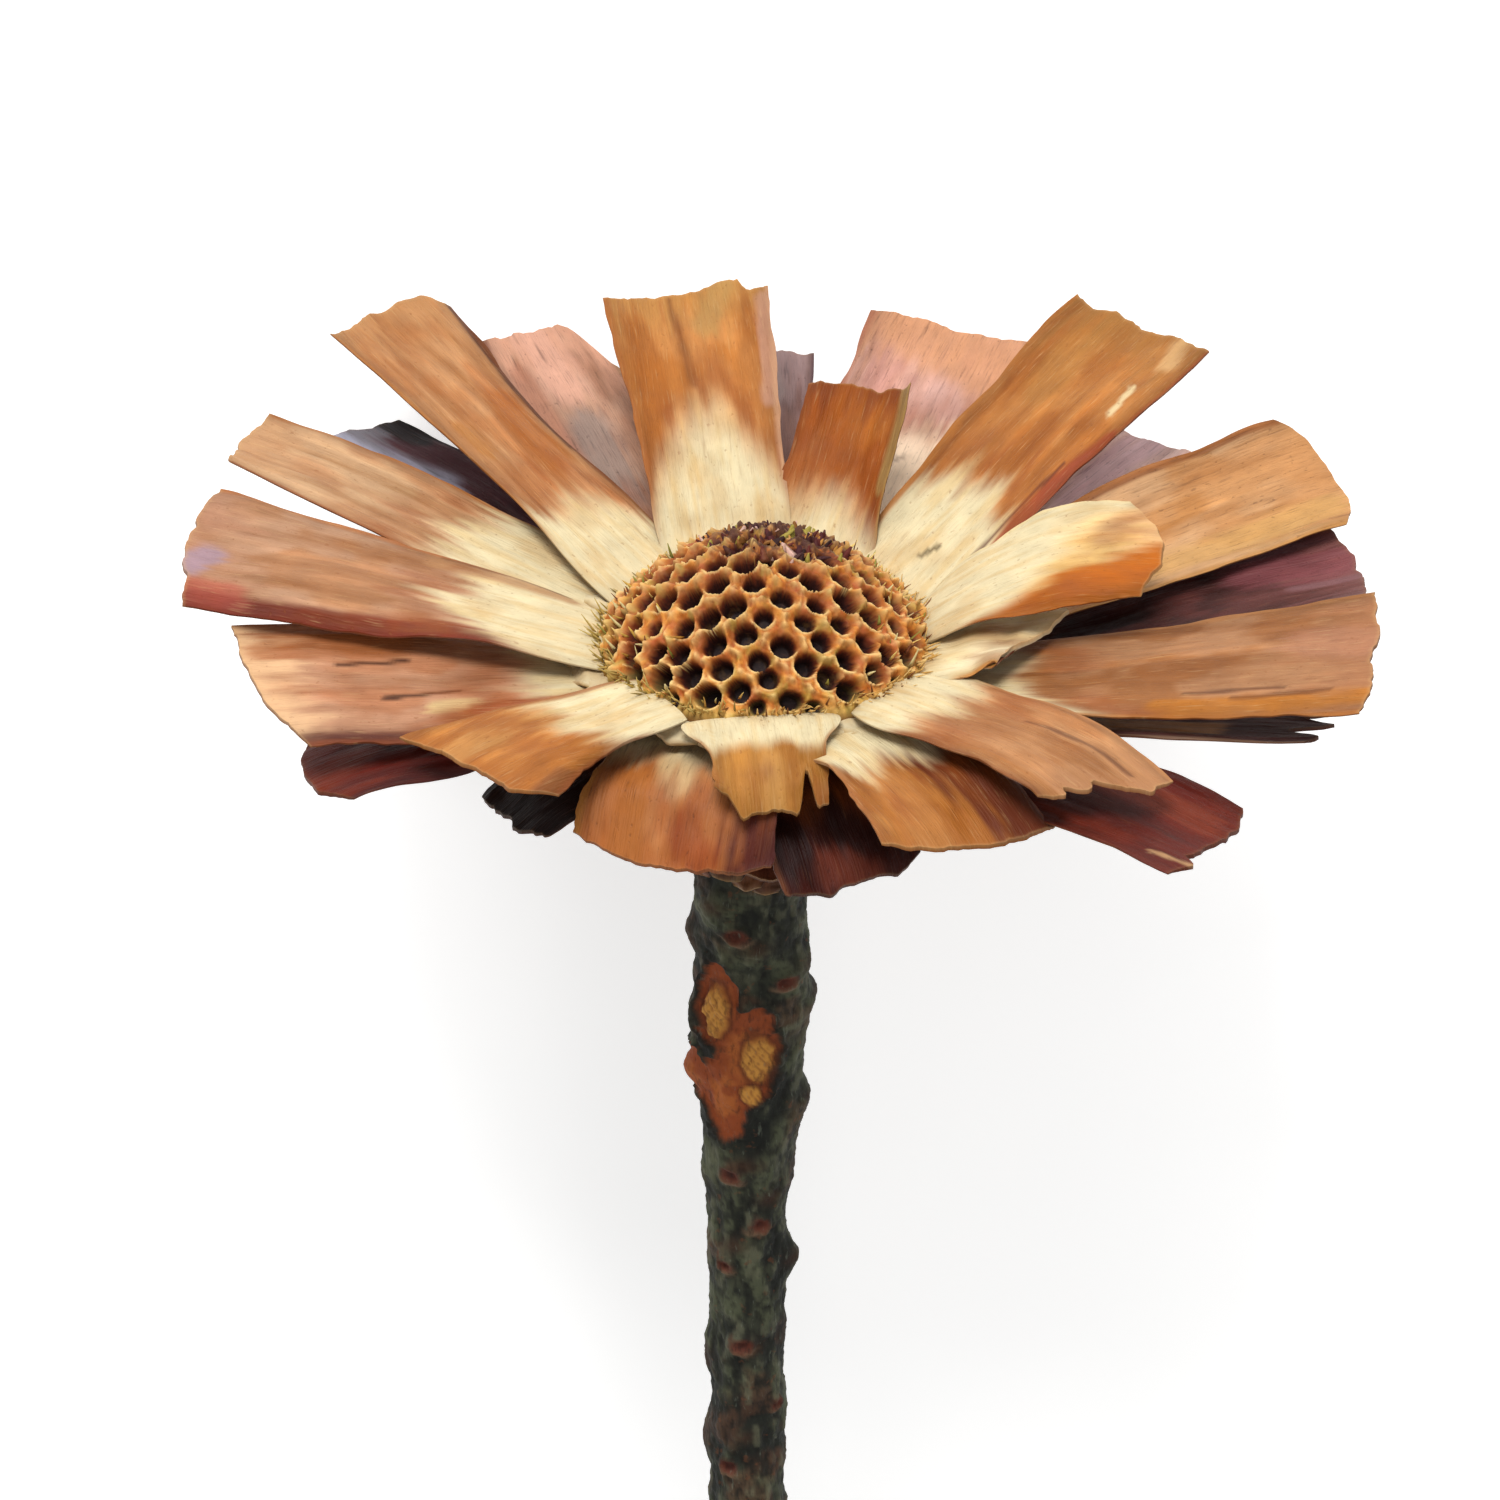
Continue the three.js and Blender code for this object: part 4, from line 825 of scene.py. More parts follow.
def discPaint(points, cells):
    # Walls mottled by noise, with painted shade on the back side of each pit, then painted highlights on
    # each pit's front lip and on the peaks, painted shade deepening from each pit's mouth to its floor,
    # darker towards the dome's top, then the dark crown and the pale rim.
    wobble, lump, lip, sunk = cells["wobble"], cells["lump"], cells["lip"], cells["sunk"]
    colour = evenColour(discColours["wall"], (len(points),))
    colour = blendTo(colour, discColours["light"], smooth(lump, -0.05, 0.22) * 0.85)
    colour = blendTo(colour, discColours["dark"], smooth(lump, -0.08, -0.26) * 0.7)
    colour = blendTo(colour, discColours["olive"], smooth(wobble, 0.06, 0.3) * 0.6)
    colour = blendTo(colour, discColours["red"], smooth(wobble, -0.08, -0.28) * 0.6)
    # painted shade on the back side of each pit
    paintedPitShade = smooth(cells["outside"], 0.5, 0.0) * smooth(cells["toFront"], 0.3, -0.5)
    colour = blendTo(colour, discColours["paintedShadeBehindPit"], paintedPitShade * 0.75)
    # painted highlight: a pale lip at each pit's front and pale peaks where three pits meet
    pale = np.clip(lip * 0.85 + cells["peak"] * 0.55, 0, 1)
    colour = blendTo(colour, discColours["lip"], pale * smooth(lump, -0.4, 0.0))
    # painted shade, deepening from each pit's mouth to its floor
    colour = blendTo(colour, discColours["pitMouth"], smooth(sunk, 0.04, 0.18))
    colour = blendTo(colour, discColours["pitWallShade"], smooth(sunk, 0.16, 0.38))
    colour = blendTo(colour, discColours["pitFloorShade"], smooth(sunk, 0.55, 0.85))
    colour = colour * (1 - 0.14 * smooth(points[:, 2], 3.0, 7.5))[:, None]
    fromCrown = (points[:, :2] - crown["middle"]) / crown["halfSize"]
    onCrown = smooth(np.hypot(fromCrown[:, 0], fromCrown[:, 1]) + lump * 0.5, 1.1, 0.6)
    colour = blendTo(colour, discColours["crown"], onCrown * 0.95 * smooth(lump - wobble * 0.6, -0.2, 0.04))
    return blendTo(colour, discColours["rim"], smooth(points[:, 2], 1.2, 0.2) * 0.6 * (1 - sunk))


def makeDisc():
    # Rings of points from the dome's top to its rim, moved along the dome's facing by the honeycomb's
    # relief. Below the rim the rings go on down the hidden cone to its flat foot.
    turn = np.linspace(0, 1, disc["domeRows"])[1:, None] * math.pi / 2
    az = np.arange(disc["sides"]) * 2 * math.pi / disc["sides"]
    radius = disc["rim"] * np.sin(turn)
    height = domeShape(radius)[0]
    height[-1] = 0
    dome = np.concatenate([[[0, 0, disc["dome"]]], roundAxis(radius, az, height).reshape(-1, 3)])
    cells = honeycomb(dome)
    rise = disc["crest"] * cells["crest"] + disc["peak"] * cells["peak"] * (0.6 + cells["wobble"])
    rise = rise - cells["depth"] * cells["sunk"] + disc["lump"] * cells["lump"] * (1 - cells["sunk"])
    dome = dome + domeFacing(dome) * (rise + disc["lip"] * cells["lip"])[:, None]
    top, foot = np.array(disc["flankTop"]), np.array(disc["flankFoot"])
    profile = top + (foot - top) * np.linspace(0, 1, disc["flankRows"])[:, None]
    flank = roundAxis(profile[:, :1], az, profile[:, 1:]).reshape(-1, 3)
    points = np.concatenate([dome, flank, [[0, 0, foot[1]]]])
    tint = np.concatenate([discPaint(dome, cells), evenColour(discColours["flank"], (len(flank),)),
                           evenColour(discColours["foot"], (1,))])
    sides, rings = disc["sides"], disc["domeRows"] - 1 + disc["flankRows"]
    ring = np.arange(sides) + 1
    faces = [gridFaces(rings, sides, 1, wrap=True), fanFaces(ring, 0),
             fanFaces(ring + sides * (rings - 1), len(points) - 1, flip=True)]
    return points, faces, tint


def makeHairs(places, directions, lengths, radii, bends):
    # Three-sided cones, all at once: P = place + direction length s + bend s^2, whose radius shrinks as
    # 1 - 0.8 s^1.5 over four rings.
    sides, rings = 3, 4
    helper = np.where(np.abs(directions[:, 2:]) < 0.9, np.array([[0, 0, 1.0]]), np.array([[1.0, 0, 0]]))
    first = unit(np.cross(directions, helper))
    other = np.cross(directions, first)
    share = np.linspace(0, 1, rings)
    along = directions[:, None] * (lengths[:, None] * share)[..., None]
    axis = places[:, None] + along + bends[:, None] * (share ** 2)[None, :, None]
    turn = np.arange(sides) * 2 * math.pi / sides
    wide = radii[:, None] * (1 - 0.8 * share ** 1.5)
    ring = (first[:, None, None] * np.cos(turn)[None, None, :, None]
            + other[:, None, None] * np.sin(turn)[None, None, :, None]) * wide[..., None, None]
    block = sides * rings
    starts = (np.arange(len(places)) * block)[:, None, None]
    ends = np.array([[0, 1, 2], [block - 1, block - 2, block - 3]])
    faces = [(gridFaces(rings, sides, wrap=True) + starts).reshape(-1, 4), (ends + starts).reshape(-1, 3)]
    return (axis[:, :, None] + ring).reshape(-1, 3), faces, block


def mixedTints(colours, chance, count):
    # one of the colours for each hair, by chance
    shades = np.array([linear(colour) for colour in colours])
    return shades[chance.randint(0, len(shades), count)]


rimHair = {"count": 420, "inside": 0.9, "spread": 1.1, "length": (0.7, 2.0), "radius": 0.14, "bend": 0.5,
           "colours": ("B98A3E", "E0BC78"), "dark": "7A4A22", "darkShare": 0.12, "olive": "A09A50"}


def rimHairs():
    # bristles round the rim that lean outwards, more olive on the left
    chance = np.random.RandomState(12)
    count = rimHair["count"]
    az = np.arange(count) * 2 * math.pi / count + chance.rand(count) * 0.02
    radius = disc["rim"] - rimHair["inside"] + chance.rand(count) * rimHair["spread"]
    places = roundAxis(radius, az, 0.9 - chance.rand(count) * 1.0)
    out = 0.5 + chance.rand(count) * 1.6
    directions = unit(roundAxis(out, az, 1) + (chance.rand(count, 3) - 0.5) * 0.7)
    low, high = rimHair["length"]
    lengths = low + (high - low) * chance.rand(count) ** 1.5
    bends = (chance.rand(count, 3) - 0.5) * rimHair["bend"]
    points, faces, block = makeHairs(places, directions, lengths, np.full(count, rimHair["radius"]), bends)
    mixed = chance.rand(count)[:, None]
    first, second = rimHair["colours"]
    tint = linear(first) * (1 - mixed) + linear(second) * mixed
    tint[chance.rand(count) < rimHair["darkShare"]] = linear(rimHair["dark"])
    olive = np.cos(az)[:, None] < -0.5 * chance.rand(count)[:, None]
    tint = np.where(olive, tint * 0.55 + linear(rimHair["olive"]) * 0.45, tint)
    return points, faces, np.repeat(tint, block, 0)


shoulderHair = {"count": 170, "sides": (12, 172), "scatter": 34, "length": (0.9, 1.8), "bend": 0.4,
                "sunk": 0.4, "colours": ("C8A048", "E0C070", "A87830", "8A8438", "D0C088", "6E3A1C")}


def shoulderHairs():
    # broken bristles that stand on the walls between the outer pits, most of them at the two sides
    chance = np.random.RandomState(18)
    count = shoulderHair["count"]
    right, left = shoulderHair["sides"]
    az = np.radians(np.concatenate([chance.normal(right, shoulderHair["scatter"], count // 2),
                                    chance.normal(left, shoulderHair["scatter"], count - count // 2)]))
    radius = disc["rim"] * np.sqrt(0.45 + 0.53 * chance.rand(count))
    places = roundAxis(radius, az, domeShape(radius)[0])
    directions = unit(domeFacing(places) + (chance.rand(count, 3) - 0.5) * 1.1 + np.array([0, 0, 0.3]))
    low, high = shoulderHair["length"]
    lengths = low + (high - low) * chance.rand(count) ** 2
    bends = (chance.rand(count, 3) - 0.5) * shoulderHair["bend"]
    radii = 0.1 + 0.14 * chance.rand(count)
    feet = places - directions * shoulderHair["sunk"]
    points, faces, block = makeHairs(feet, directions, lengths, radii, bends)
    return points, faces, np.repeat(mixedTints(shoulderHair["colours"], chance, count), block, 0)


crownStub = {"count": 190, "reach": (7.0, 5.95), "length": (0.2, 0.95), "bend": 0.9, "sunk": 0.9,
             "colours": ("3A1410", "4E1C16", "3A1414", "8A5A28", "C8A090", "9A8A3A", "2A0E0C", "5A2018",
                         "B07A34", "4A1A1A", "3A1018")}


def crownStubs():
    # what is left of the florets round the crown
    chance = np.random.RandomState(31)
    count = crownStub["count"]
    az = chance.rand(count) * 2 * math.pi
    spread = np.sqrt(chance.rand(count))
    x = crownStub["reach"][0] * spread * np.cos(az) + crown["middle"][0]
    y = crownStub["reach"][1] * spread * np.sin(az) + crown["middle"][1]
    places = np.stack([x, y, domeShape(np.hypot(x, y))[0]], -1)
    directions = unit(domeFacing(places) + (chance.rand(count, 3) - 0.5) * 1.3)
    low, high = crownStub["length"]
    lengths = low + (high - low) * chance.rand(count) ** 2.5 + crownStub["sunk"]
    bends = (chance.rand(count, 3) - 0.5) * crownStub["bend"]
    radii = 0.3 + 0.45 * chance.rand(count)
    feet = places - directions * crownStub["sunk"]
    points, faces, block = makeHairs(feet, directions, lengths, radii, bends)
    return points, faces, np.repeat(mixedTints(crownStub["colours"], chance, count), block, 0)


collar = {"count": 30, "root": (13.9, -1.3), "reach": 18.6, "frontShort": 1.4, "rise": -1.0,
          "frontDrop": 1.5, "width": 4.6, "tipWidth": 2.0, "along": 12, "across": 8, "shade": 0.7}
collarLook = {"bow": 0.4, "foot": 0.3, "ragged": 0.5, "tip": ((-1, 0.8), (0, 0), (1, 0.8)),
              "cream": (1.2, 1.2, 1.2), "zig": 0.2, "body": "DDB880", "second": "E4C48E",
              "tipTint": "C89A5C", "edge": ("C8A468", "C8A468"), "belly": "B08A58"}


def collarScales():
    # short pale scales that close the ring between the bracts' feet
    parts = []
    chance = np.random.RandomState(44)
    for k in range(collar["count"]):
        az = 360 / collar["count"] * (k + 0.5 * chance.rand())
        front = -math.sin(math.radians(az))
        reach = collar["reach"] + 1.2 * chance.rand() - collar["frontShort"] * max(front, 0)
        rise = collar["rise"] - collar["frontDrop"] * front + 0.5 * chance.rand()
        widths = (collar["width"], collar["width"] * 1.1, collar["tipWidth"])
        b = dict(collarLook, az=az, root=collar["root"], reach=reach, rise=rise, widths=widths)
        points, faces, tint = bladeShell(b, 700 + k, collar["along"], collar["across"])[:3]
        parts.append((points, faces, tint * collar["shade"]))
    return joined(parts)


discSurface = {"grain": 2600.0, "blotch": 520.0, "pore": "6A3814", "poreShare": 0.25, "pale": "E0A85C",
               "paleShare": 0.15, "share": 0.55, "shine": 0.3, "bumpDistance": 0.00015, "bumpStrength": 0.5}


def discMaterial():
    # the painted colours, part covered by fine pores and pale blotches
    shop = MaterialShop("driedDisc")
    tint, place = shop.tint(), shop.place()
    grain = shop.noise(place, discSurface["grain"], 4.0, 0.6)
    blotch = shop.noise(place, discSurface["blotch"])
    pores = grain.above(0.5, 0.3) * discSurface["poreShare"]
    colour = shop.mix(pores, tint, shop.colour(discSurface["pore"]))
    pale = blotch.above(0.55, 0.7) * discSurface["paleShare"]
    colour = shop.mix(pale, colour, shop.colour(discSurface["pale"]))
    colour = shop.mix(discSurface["share"], tint, colour)
    return finishMaterial(
        shop,
        {"Base Color": colour, "Roughness": 0.6 + grain * 0.2, "Specular IOR Level": discSurface["shine"]},
        grain + blotch * 0.5, discSurface["bumpDistance"], discSurface["bumpStrength"],
    )


print("seed disc")
discParts = joined([makeDisc(), rimHairs(), shoulderHairs(), crownStubs(), collarScales()])
meshPiece("pittedDisc", "seed_disc", "seed_disc", discMaterial(), *discParts)

# Rows of small scales under the head: [how many, height of their feet, how far they reach out of the
# cone, how far they droop, width]. They stand on a cup that closes round the cone's foot.
scaleRows = [(10, -14.2, 2.8, 2.4, 4.4), (9, -16.2, 2.4, 1.6, 4.0), (8, -18.4, 1.7, 0.6, 3.6)]
scaleGrid = {"along": 16, "across": 12}
scaleCup = {"top": -13.0, "foot": -20.4, "wall": 1.3, "sides": 96, "colour": "4E3426"}
scaleLook = {"bow": 0.5, "foot": 0.1, "tip": ((-1, 0.3), (0, 0), (1, 0.3)), "ragged": 0.3,
             "cream": (-1, -1, -1), "zig": 0.1, "body": "5E3D2C", "second": "75523A", "tipTint": "8A6A4A",
             "edge": ("3A241A", "3A241A"), "belly": "4E3426"}


def flankRadius(height):
    # the hidden cone's radius at a height, straight from its top to its foot
    (topRadius, topHeight), (footRadius, footHeight) = disc["flankTop"], disc["flankFoot"]
    return footRadius + (topRadius - footRadius) * (height - footHeight) / (topHeight - footHeight)


def scaleCupPart():
    # a profile of five points turned round the axis, closed on itself
    az = np.arange(scaleCup["sides"]) * 2 * math.pi / scaleCup["sides"]
    top, foot, wall = scaleCup["top"], scaleCup["foot"], scaleCup["wall"]
    middle = (top + foot) / 2
    footRadius = disc["flankFoot"][0]
    profile = np.array([(flankRadius(top), top), (footRadius, foot), (footRadius + wall, foot),
                        (flankRadius(middle) + wall, middle), (flankRadius(top) + wall, top)])
    points = roundAxis(profile[:, :1], az, profile[:, 1:]).reshape(-1, 3)
    here, last = np.arange(len(az)), (len(profile) - 1) * len(az)
    following = np.roll(here, -1)
    close = np.stack([here, following, last + following, last + here], -1)
    faces = [gridFaces(len(profile), len(az), wrap=True, flip=True), close]
    uv = np.stack([np.tile(az * 0.6, len(profile)), np.repeat(profile[:, 1] / 10, len(az))], -1)
    return (points, faces, evenColour(scaleCup["colour"], (len(points),))), uv


def makeScales():
    # Each row stands evenly round the cone, every other one half a step on, and its scales are longer
    # and higher at the back.
    parts, uvs, sharps, first = [], [], [], 0
    for row, (count, height, spread, droop, width) in enumerate(scaleRows):
        for k in range(count):
            az = 360 / count * (k + 0.5 * (row % 2))
            back = math.sin(math.radians(az))
            radius = flankRadius(height)
            b = dict(scaleLook, az=az, root=(radius + 0.3, height),
                     reach=radius + spread * (1 + 0.35 * back), rise=height - droop + 2.2 * back,
                     widths=(width, width, 0.45 * width))
            points, faces, tint, uv, sharp = bladeShell(b, 500 + 20 * row + k, **scaleGrid)
            parts.append((points, faces, tint))
            uvs.append(uv)
            sharps.append(sharp + first)
            first += len(points)
    cup, cupUv = scaleCupPart()
    points, faces, tint = joined(parts + [cup])
    return points, faces, tint, np.concatenate(uvs + [cupUv]), np.concatenate(sharps)


print("basal scales")
meshPiece("basalScaleRows", "basal_scales", "basal_scales", bladeMaterials["lower"], *makeScales())

stemShape = {"topRadius": 5.0, "endRadius": 3.5, "length": 230.0, "shift": -1.2, "drift": -1.0, "top": -21.3,
             "sides": 128, "rings": 640, "crowding": 1.35, "taper": (15, 42), "intoCone": 1.4,
             "mostOut": 2.0, "plates": 0.7, "streaks": 0.4, "lumps": 0.6, "grit": 0.35}
stemColours = {"bark": "2E3024", "paleBark": "565A42", "darkBark": "171A14", "brownBark": "4E3424",
               "darkStreak": "12140F", "grit": "14120C", "paleStreak": "707058", "knob": "3E2416",
               "cutRim": "6A5038", "cutWood": "C9A873", "pith": "8A6A42"}
# Knobs and hollows in the bark: [distance below the head, azimuth, how far out, how wide].
barkMarks = [
    (3, -130, 0.7, 2.2), (7, -85, 0.5, 2.2), (10, -20, 0.8, 2.0), (14.2, 5, 1.1, 2.0),
    (17, -165, 0.5, 3.0), (7.5, -178, 0.6, 1.6), (12, -110, -0.5, 4.0), (19, -80, -0.5, 4.0),
    (25, 0, 1.0, 1.8), (33, -175, 0.5, 2.0), (30, -95, 0.4, 2.2), (34, -60, 0.4, 2.2), (42, -5, 1.1, 1.9),
    (39, -110, 0.4, 2.2), (50, -90, 0.4, 2.2), (60, -100, 0.4, 2.2), (52, -178, 0.4, 1.8),
]
# Below those, the stem goes on out of the photograph with knobs by a rule.
lowerMarks = {"start": 62.0, "step": 6.5, "jitter": 2, "turn": 137.5, "height": 0.4, "heightJitter": 0.4,
              "width": 2.2, "clearEnd": 8, "seed": 29}
# Spots of the bark: [distance below the head, azimuth, half width, half height].
leafScars = {
    "spots": [(5.6, -106, 1.3, 0.7), (11.0, -52, 1.2, 0.7), (31.2, -112, 1.1, 0.9), (36.8, -76, 1.1, 0.9),
              (41.5, -125, 0.8, 0.7), (49.8, -97, 1.1, 0.9), (63.5, -116, 1.1, 0.9), (57, -44, 0.7, 0.6)],
    "lip": "8A6A50", "face": "5E2A1C", "middle": "2A0F0A", "raised": 0.35, "sunk": 0.45,
}
peeledPatch = {
    "spots": [(13.6, -128, 2.3, 4.3), (18.4, -94, 3.1, 4.8), (23.0, -122, 2.5, 4.0), (21.6, -168, 2.2, 2.6)],
    "ovals": [(14.2, -131, 1.5, 2.6), (19.0, -80, 1.8, 2.6), (22.6, -88, 1.0, 0.9)],
    "rim": "1C1A14", "field": "8E4420", "fieldLight": "B0622C", "sunk": 0.35, "lip": 0.35,
    "ovalRim": "5A2C16", "wood": "CC9040", "net": "8E5A2C", "woodRise": 0.25, "netRise": 0.18,
    "swelling": (21.6, -176, 1.8, 1.7), "swellingRise": 1.5,
}


def stemMarks():
    # the marks above, then knobs at even steps, each a fixed turn on, shifted and raised by chance
    chance = frameRandom(lowerMarks["seed"])
    marks = list(barkMarks)
    down = lowerMarks["start"]
    while down < stemShape["length"] - lowerMarks["clearEnd"]:
        marks.append((
            down + lowerMarks["jitter"] * next(chance), lowerMarks["turn"] * len(marks),
            lowerMarks["height"] + lowerMarks["heightJitter"] * next(chance), lowerMarks["width"],
        ))
        down += lowerMarks["step"]
    return marks


class StemSkin:
    # the stem's radius and colour over the distance below the head and the azimuth, as grids
    def __init__(self):
        share = np.linspace(0, 1, stemShape["rings"])[:, None] ** stemShape["crowding"]
        self.share = share * np.ones((1, stemShape["sides"]))
        self.down = stemShape["length"] * self.share
        self.az = np.ones_like(self.share) * np.arange(stemShape["sides"]) * 360 / stemShape["sides"]
        thick, thin = stemShape["topRadius"], stemShape["endRadius"]
        self.base = thick + (thin - thick) * smooth(self.down, *stemShape["taper"])
        self.radius = self.base.copy()
        self.colour = evenColour(stemColours["bark"], self.share.shape)

    def fromAzimuth(self, turn):
        # mm round the stem
        return np.radians((self.az - turn + 180) % 360 - 180) * self.base

    def offsets(self, place, turn, wide, tall):
        # distances from a spot, round the stem and along it, in half widths and half heights
        return self.fromAzimuth(turn) / wide, (self.down - place) / tall

    def distance(self, spot):
        return np.hypot(*self.offsets(*spot))

    def noise(self, lumpsRound, lumpsPerMm, seed):
        # closes round the stem: so many lumps round it, and so many in each mm along it
        return layeredNoise(self.az / 360 * lumpsRound, self.down * lumpsPerMm, seed, period=lumpsRound)

    def paint(self, hexColour, mask):
        self.colour = blendTo(self.colour, hexColour, mask)

    def swell(self, rise):
        self.radius = self.radius + rise


def barkOn(skin):
    # A tapering tube with the marks as soft bumps, under plates, streaks, lumps and grit of noise.
    knob = np.zeros_like(skin.radius)
    for place, turn, height, width in stemMarks():
        x, y = skin.offsets(place, turn, width, width)
        skin.swell(height * np.exp(-x ** 2 - y ** 2))
        x, y = skin.offsets(place, turn, 1.2, 0.8)
        knob = np.maximum(knob, (height > 0) * np.exp(-x ** 2 - y ** 2))
    plates, streaks = skin.noise(9, 0.26, 71), skin.noise(24, 0.5, 81)
    lumps, grit = skin.noise(5, 0.3, 91), skin.noise(48, 1.8, 66)
    for pattern, name in ((plates, "plates"), (streaks, "streaks"), (lumps, "lumps"), (grit, "grit")):
        skin.swell((pattern - 0.5) * stemShape[name])
    skin.paint(stemColours["paleBark"], smooth(plates, 0.5, 0.68) * 0.6)
    skin.paint(stemColours["darkBark"], smooth(plates, 0.5, 0.34) * 0.85)
    skin.paint(stemColours["brownBark"], smooth(lumps, 0.56, 0.72) * 0.7)
    skin.paint(stemColours["darkStreak"], smooth(streaks, 0.46, 0.3) * 0.8)
    skin.paint(stemColours["grit"], smooth(grit, 0.45, 0.3) * 0.6)
    skin.paint(stemColours["paleStreak"], smooth(streaks, 0.58, 0.74) * 0.4)
    skin.paint(stemColours["knob"], knob * 0.7)


def scarsOn(skin, pebble):
    # red-brown ovals, sunk in a raised ring, with a pale lower lip
    for spot in leafScars["spots"]:
        away = skin.distance(spot) + pebble * 0.9
        below = smooth(skin.offsets(*spot)[1], -0.1, 0.9)
        skin.paint(leafScars["lip"], smooth(away, 1.7, 1.0) * below * 0.55)
        skin.paint(leafScars["face"], smooth(away, 1.2, 0.5) * 0.9)
        skin.paint(leafScars["middle"], smooth(away, 0.6, 0.1) * 0.6)
        skin.swell(leafScars["raised"] * smooth(away, 1.4, 1.0) - leafScars["sunk"] * smooth(away, 0.9, 0.3))


def peelOn(skin, pebble):
    # a sunk orange-red field with a rim, of overlapping spots, and ovals of netted bare wood on it
    field = np.minimum.reduce([skin.distance(spot) for spot in peeledPatch["spots"]]) + pebble * 0.55
    skin.paint(peeledPatch["rim"], smooth(field, 1.35, 1.08) * 0.75)
    skin.paint(peeledPatch["field"], smooth(field, 1.08, 0.95))
    skin.paint(peeledPatch["fieldLight"], smooth(field, 0.95, 0.5) * smooth(pebble, -0.1, 0.15) * 0.8)
    skin.swell(peeledPatch["lip"] * hill(field - 1.15, 0.12) - peeledPatch["sunk"] * smooth(field, 1.1, 0.9))
    for spot in peeledPatch["ovals"]:
        away = skin.distance(spot) + pebble * 0.6
        side = skin.fromAzimuth(spot[1])
        net = np.abs(np.sin(side * 3.4 + skin.down * 2.1)) * np.abs(np.sin(side * 3.0 - skin.down * 2.4))
        skin.paint(peeledPatch["ovalRim"], hill(away - 1.1, 0.14) * 0.7)
        skin.paint(peeledPatch["wood"], smooth(away, 1.1, 0.7) * 0.95)
        skin.paint(peeledPatch["net"], smooth(away, 1.0, 0.8) * smooth(net, 0.3, 0.1) * 0.7)
        skin.swell(smooth(away, 1.05, 0.8) * (peeledPatch["woodRise"] + peeledPatch["netRise"] * net))
    x, y = skin.offsets(*peeledPatch["swelling"])
    skin.swell(peeledPatch["swellingRise"] * np.exp(-x ** 2 - y ** 2))


def stemEnd(points, ringStart, first, flip):
    # an end is closed by two rings and a middle, all in the plane of the stem's last ring
    sides = stemShape["sides"]
    rim = points[ringStart:ringStart + sides]
    middle = rim.mean(0)
    previous = np.arange(sides) + ringStart
    made, tints, faces = [], [], []
    for share, name in ((0.86, "cutRim"), (0.4, "cutWood")):
        made.append(middle + (rim - middle) * share)
        tints.append(evenColour(stemColours[name], (sides,)))
        here = np.arange(sides) + first
        quads = np.stack([previous, here, np.roll(here, -1), np.roll(previous, -1)], -1)
        faces.append(quads if flip else quads[:, ::-1])
        previous, first = here, first + sides
    made.append(middle[None])
    tints.append(evenColour(stemColours["pith"], (1,)))
    faces.append(fanFaces(previous, first, flip=flip))
    return np.concatenate(made), faces, np.concatenate(tints)


def makeStem():
    # P = (radius cos az + drift, radius sin az, top - down)
    skin = StemSkin()
    pebble = skin.noise(22, 0.9, 61) - 0.5
    barkOn(skin)
    scarsOn(skin, pebble)
    peelOn(skin, pebble)
    radius = np.minimum(skin.radius, skin.base + stemShape["mostOut"])
    x = radius * np.cos(np.radians(skin.az)) + stemShape["shift"] + stemShape["drift"] * skin.share ** 0.6
    hiddenTop = stemShape["intoCone"] * (1 - smooth(skin.down, 0, 0.6))
    height = stemShape["top"] - skin.down + hiddenTop
    points = np.stack([x, radius * np.sin(np.radians(skin.az)), height], -1).reshape(-1, 3)
    sides, rings = stemShape["sides"], stemShape["rings"]
    top = stemEnd(points, 0, len(points), False)
    cut = stemEnd(points, sides * (rings - 1), len(points) + len(top[0]), True)
    return (np.concatenate([points, top[0], cut[0]]), [gridFaces(rings, sides, wrap=True)] + top[1] + cut[1],
            np.concatenate([skin.colour.reshape(-1, 3), top[2], cut[2]]))


barkSurface = {"grain": 1900.0, "grainStretch": (1, 0.25, 1), "speck": 900.0, "crack": "100F0B",
               "crackShare": 0.5, "dust": "7A8070", "dustShare": 0.35, "rust": "6A4028", "rustShare": 0.4,
               "shine": 0.3, "bumpDistance": 0.0003, "bumpStrength": 0.6}


def barkMaterial():
    # the painted colours under cracks and grey dust that run along the stem, and rusty specks
    shop = MaterialShop("stemBark")
    place = shop.place()
    grain = shop.noise(shop.stretched(place, barkSurface["grainStretch"]), barkSurface["grain"], 4.0, 0.6)
    speck = shop.noise(place, barkSurface["speck"])
    cracks = grain.above(0.5, 0.3) * barkSurface["crackShare"]
    colour = shop.mix(cracks, shop.tint(), shop.colour(barkSurface["crack"]))
    dust = grain.above(0.6, 0.75) * barkSurface["dustShare"]
    colour = shop.mix(dust, colour, shop.colour(barkSurface["dust"]))
    rust = speck.above(0.62, 0.72) * barkSurface["rustShare"]
    colour = shop.mix(rust, colour, shop.colour(barkSurface["rust"]))
    return finishMaterial(
        shop,
        {"Base Color": colour, "Roughness": 0.7 + speck * 0.2, "Specular IOR Level": barkSurface["shine"]},
        grain + speck * 0.6, barkSurface["bumpDistance"], barkSurface["bumpStrength"],
    )


print("stem")
meshPiece("barkStem", "stem", "stem_bark", barkMaterial(), *makeStem())

view = {"distance": 600.0, "elevation": 27.0, "pixelsPerMm": 11.36, "discPixel": (765, 642),
        "imageSize": 1500, "sensor": 36, "clip": (0.01, 20)}


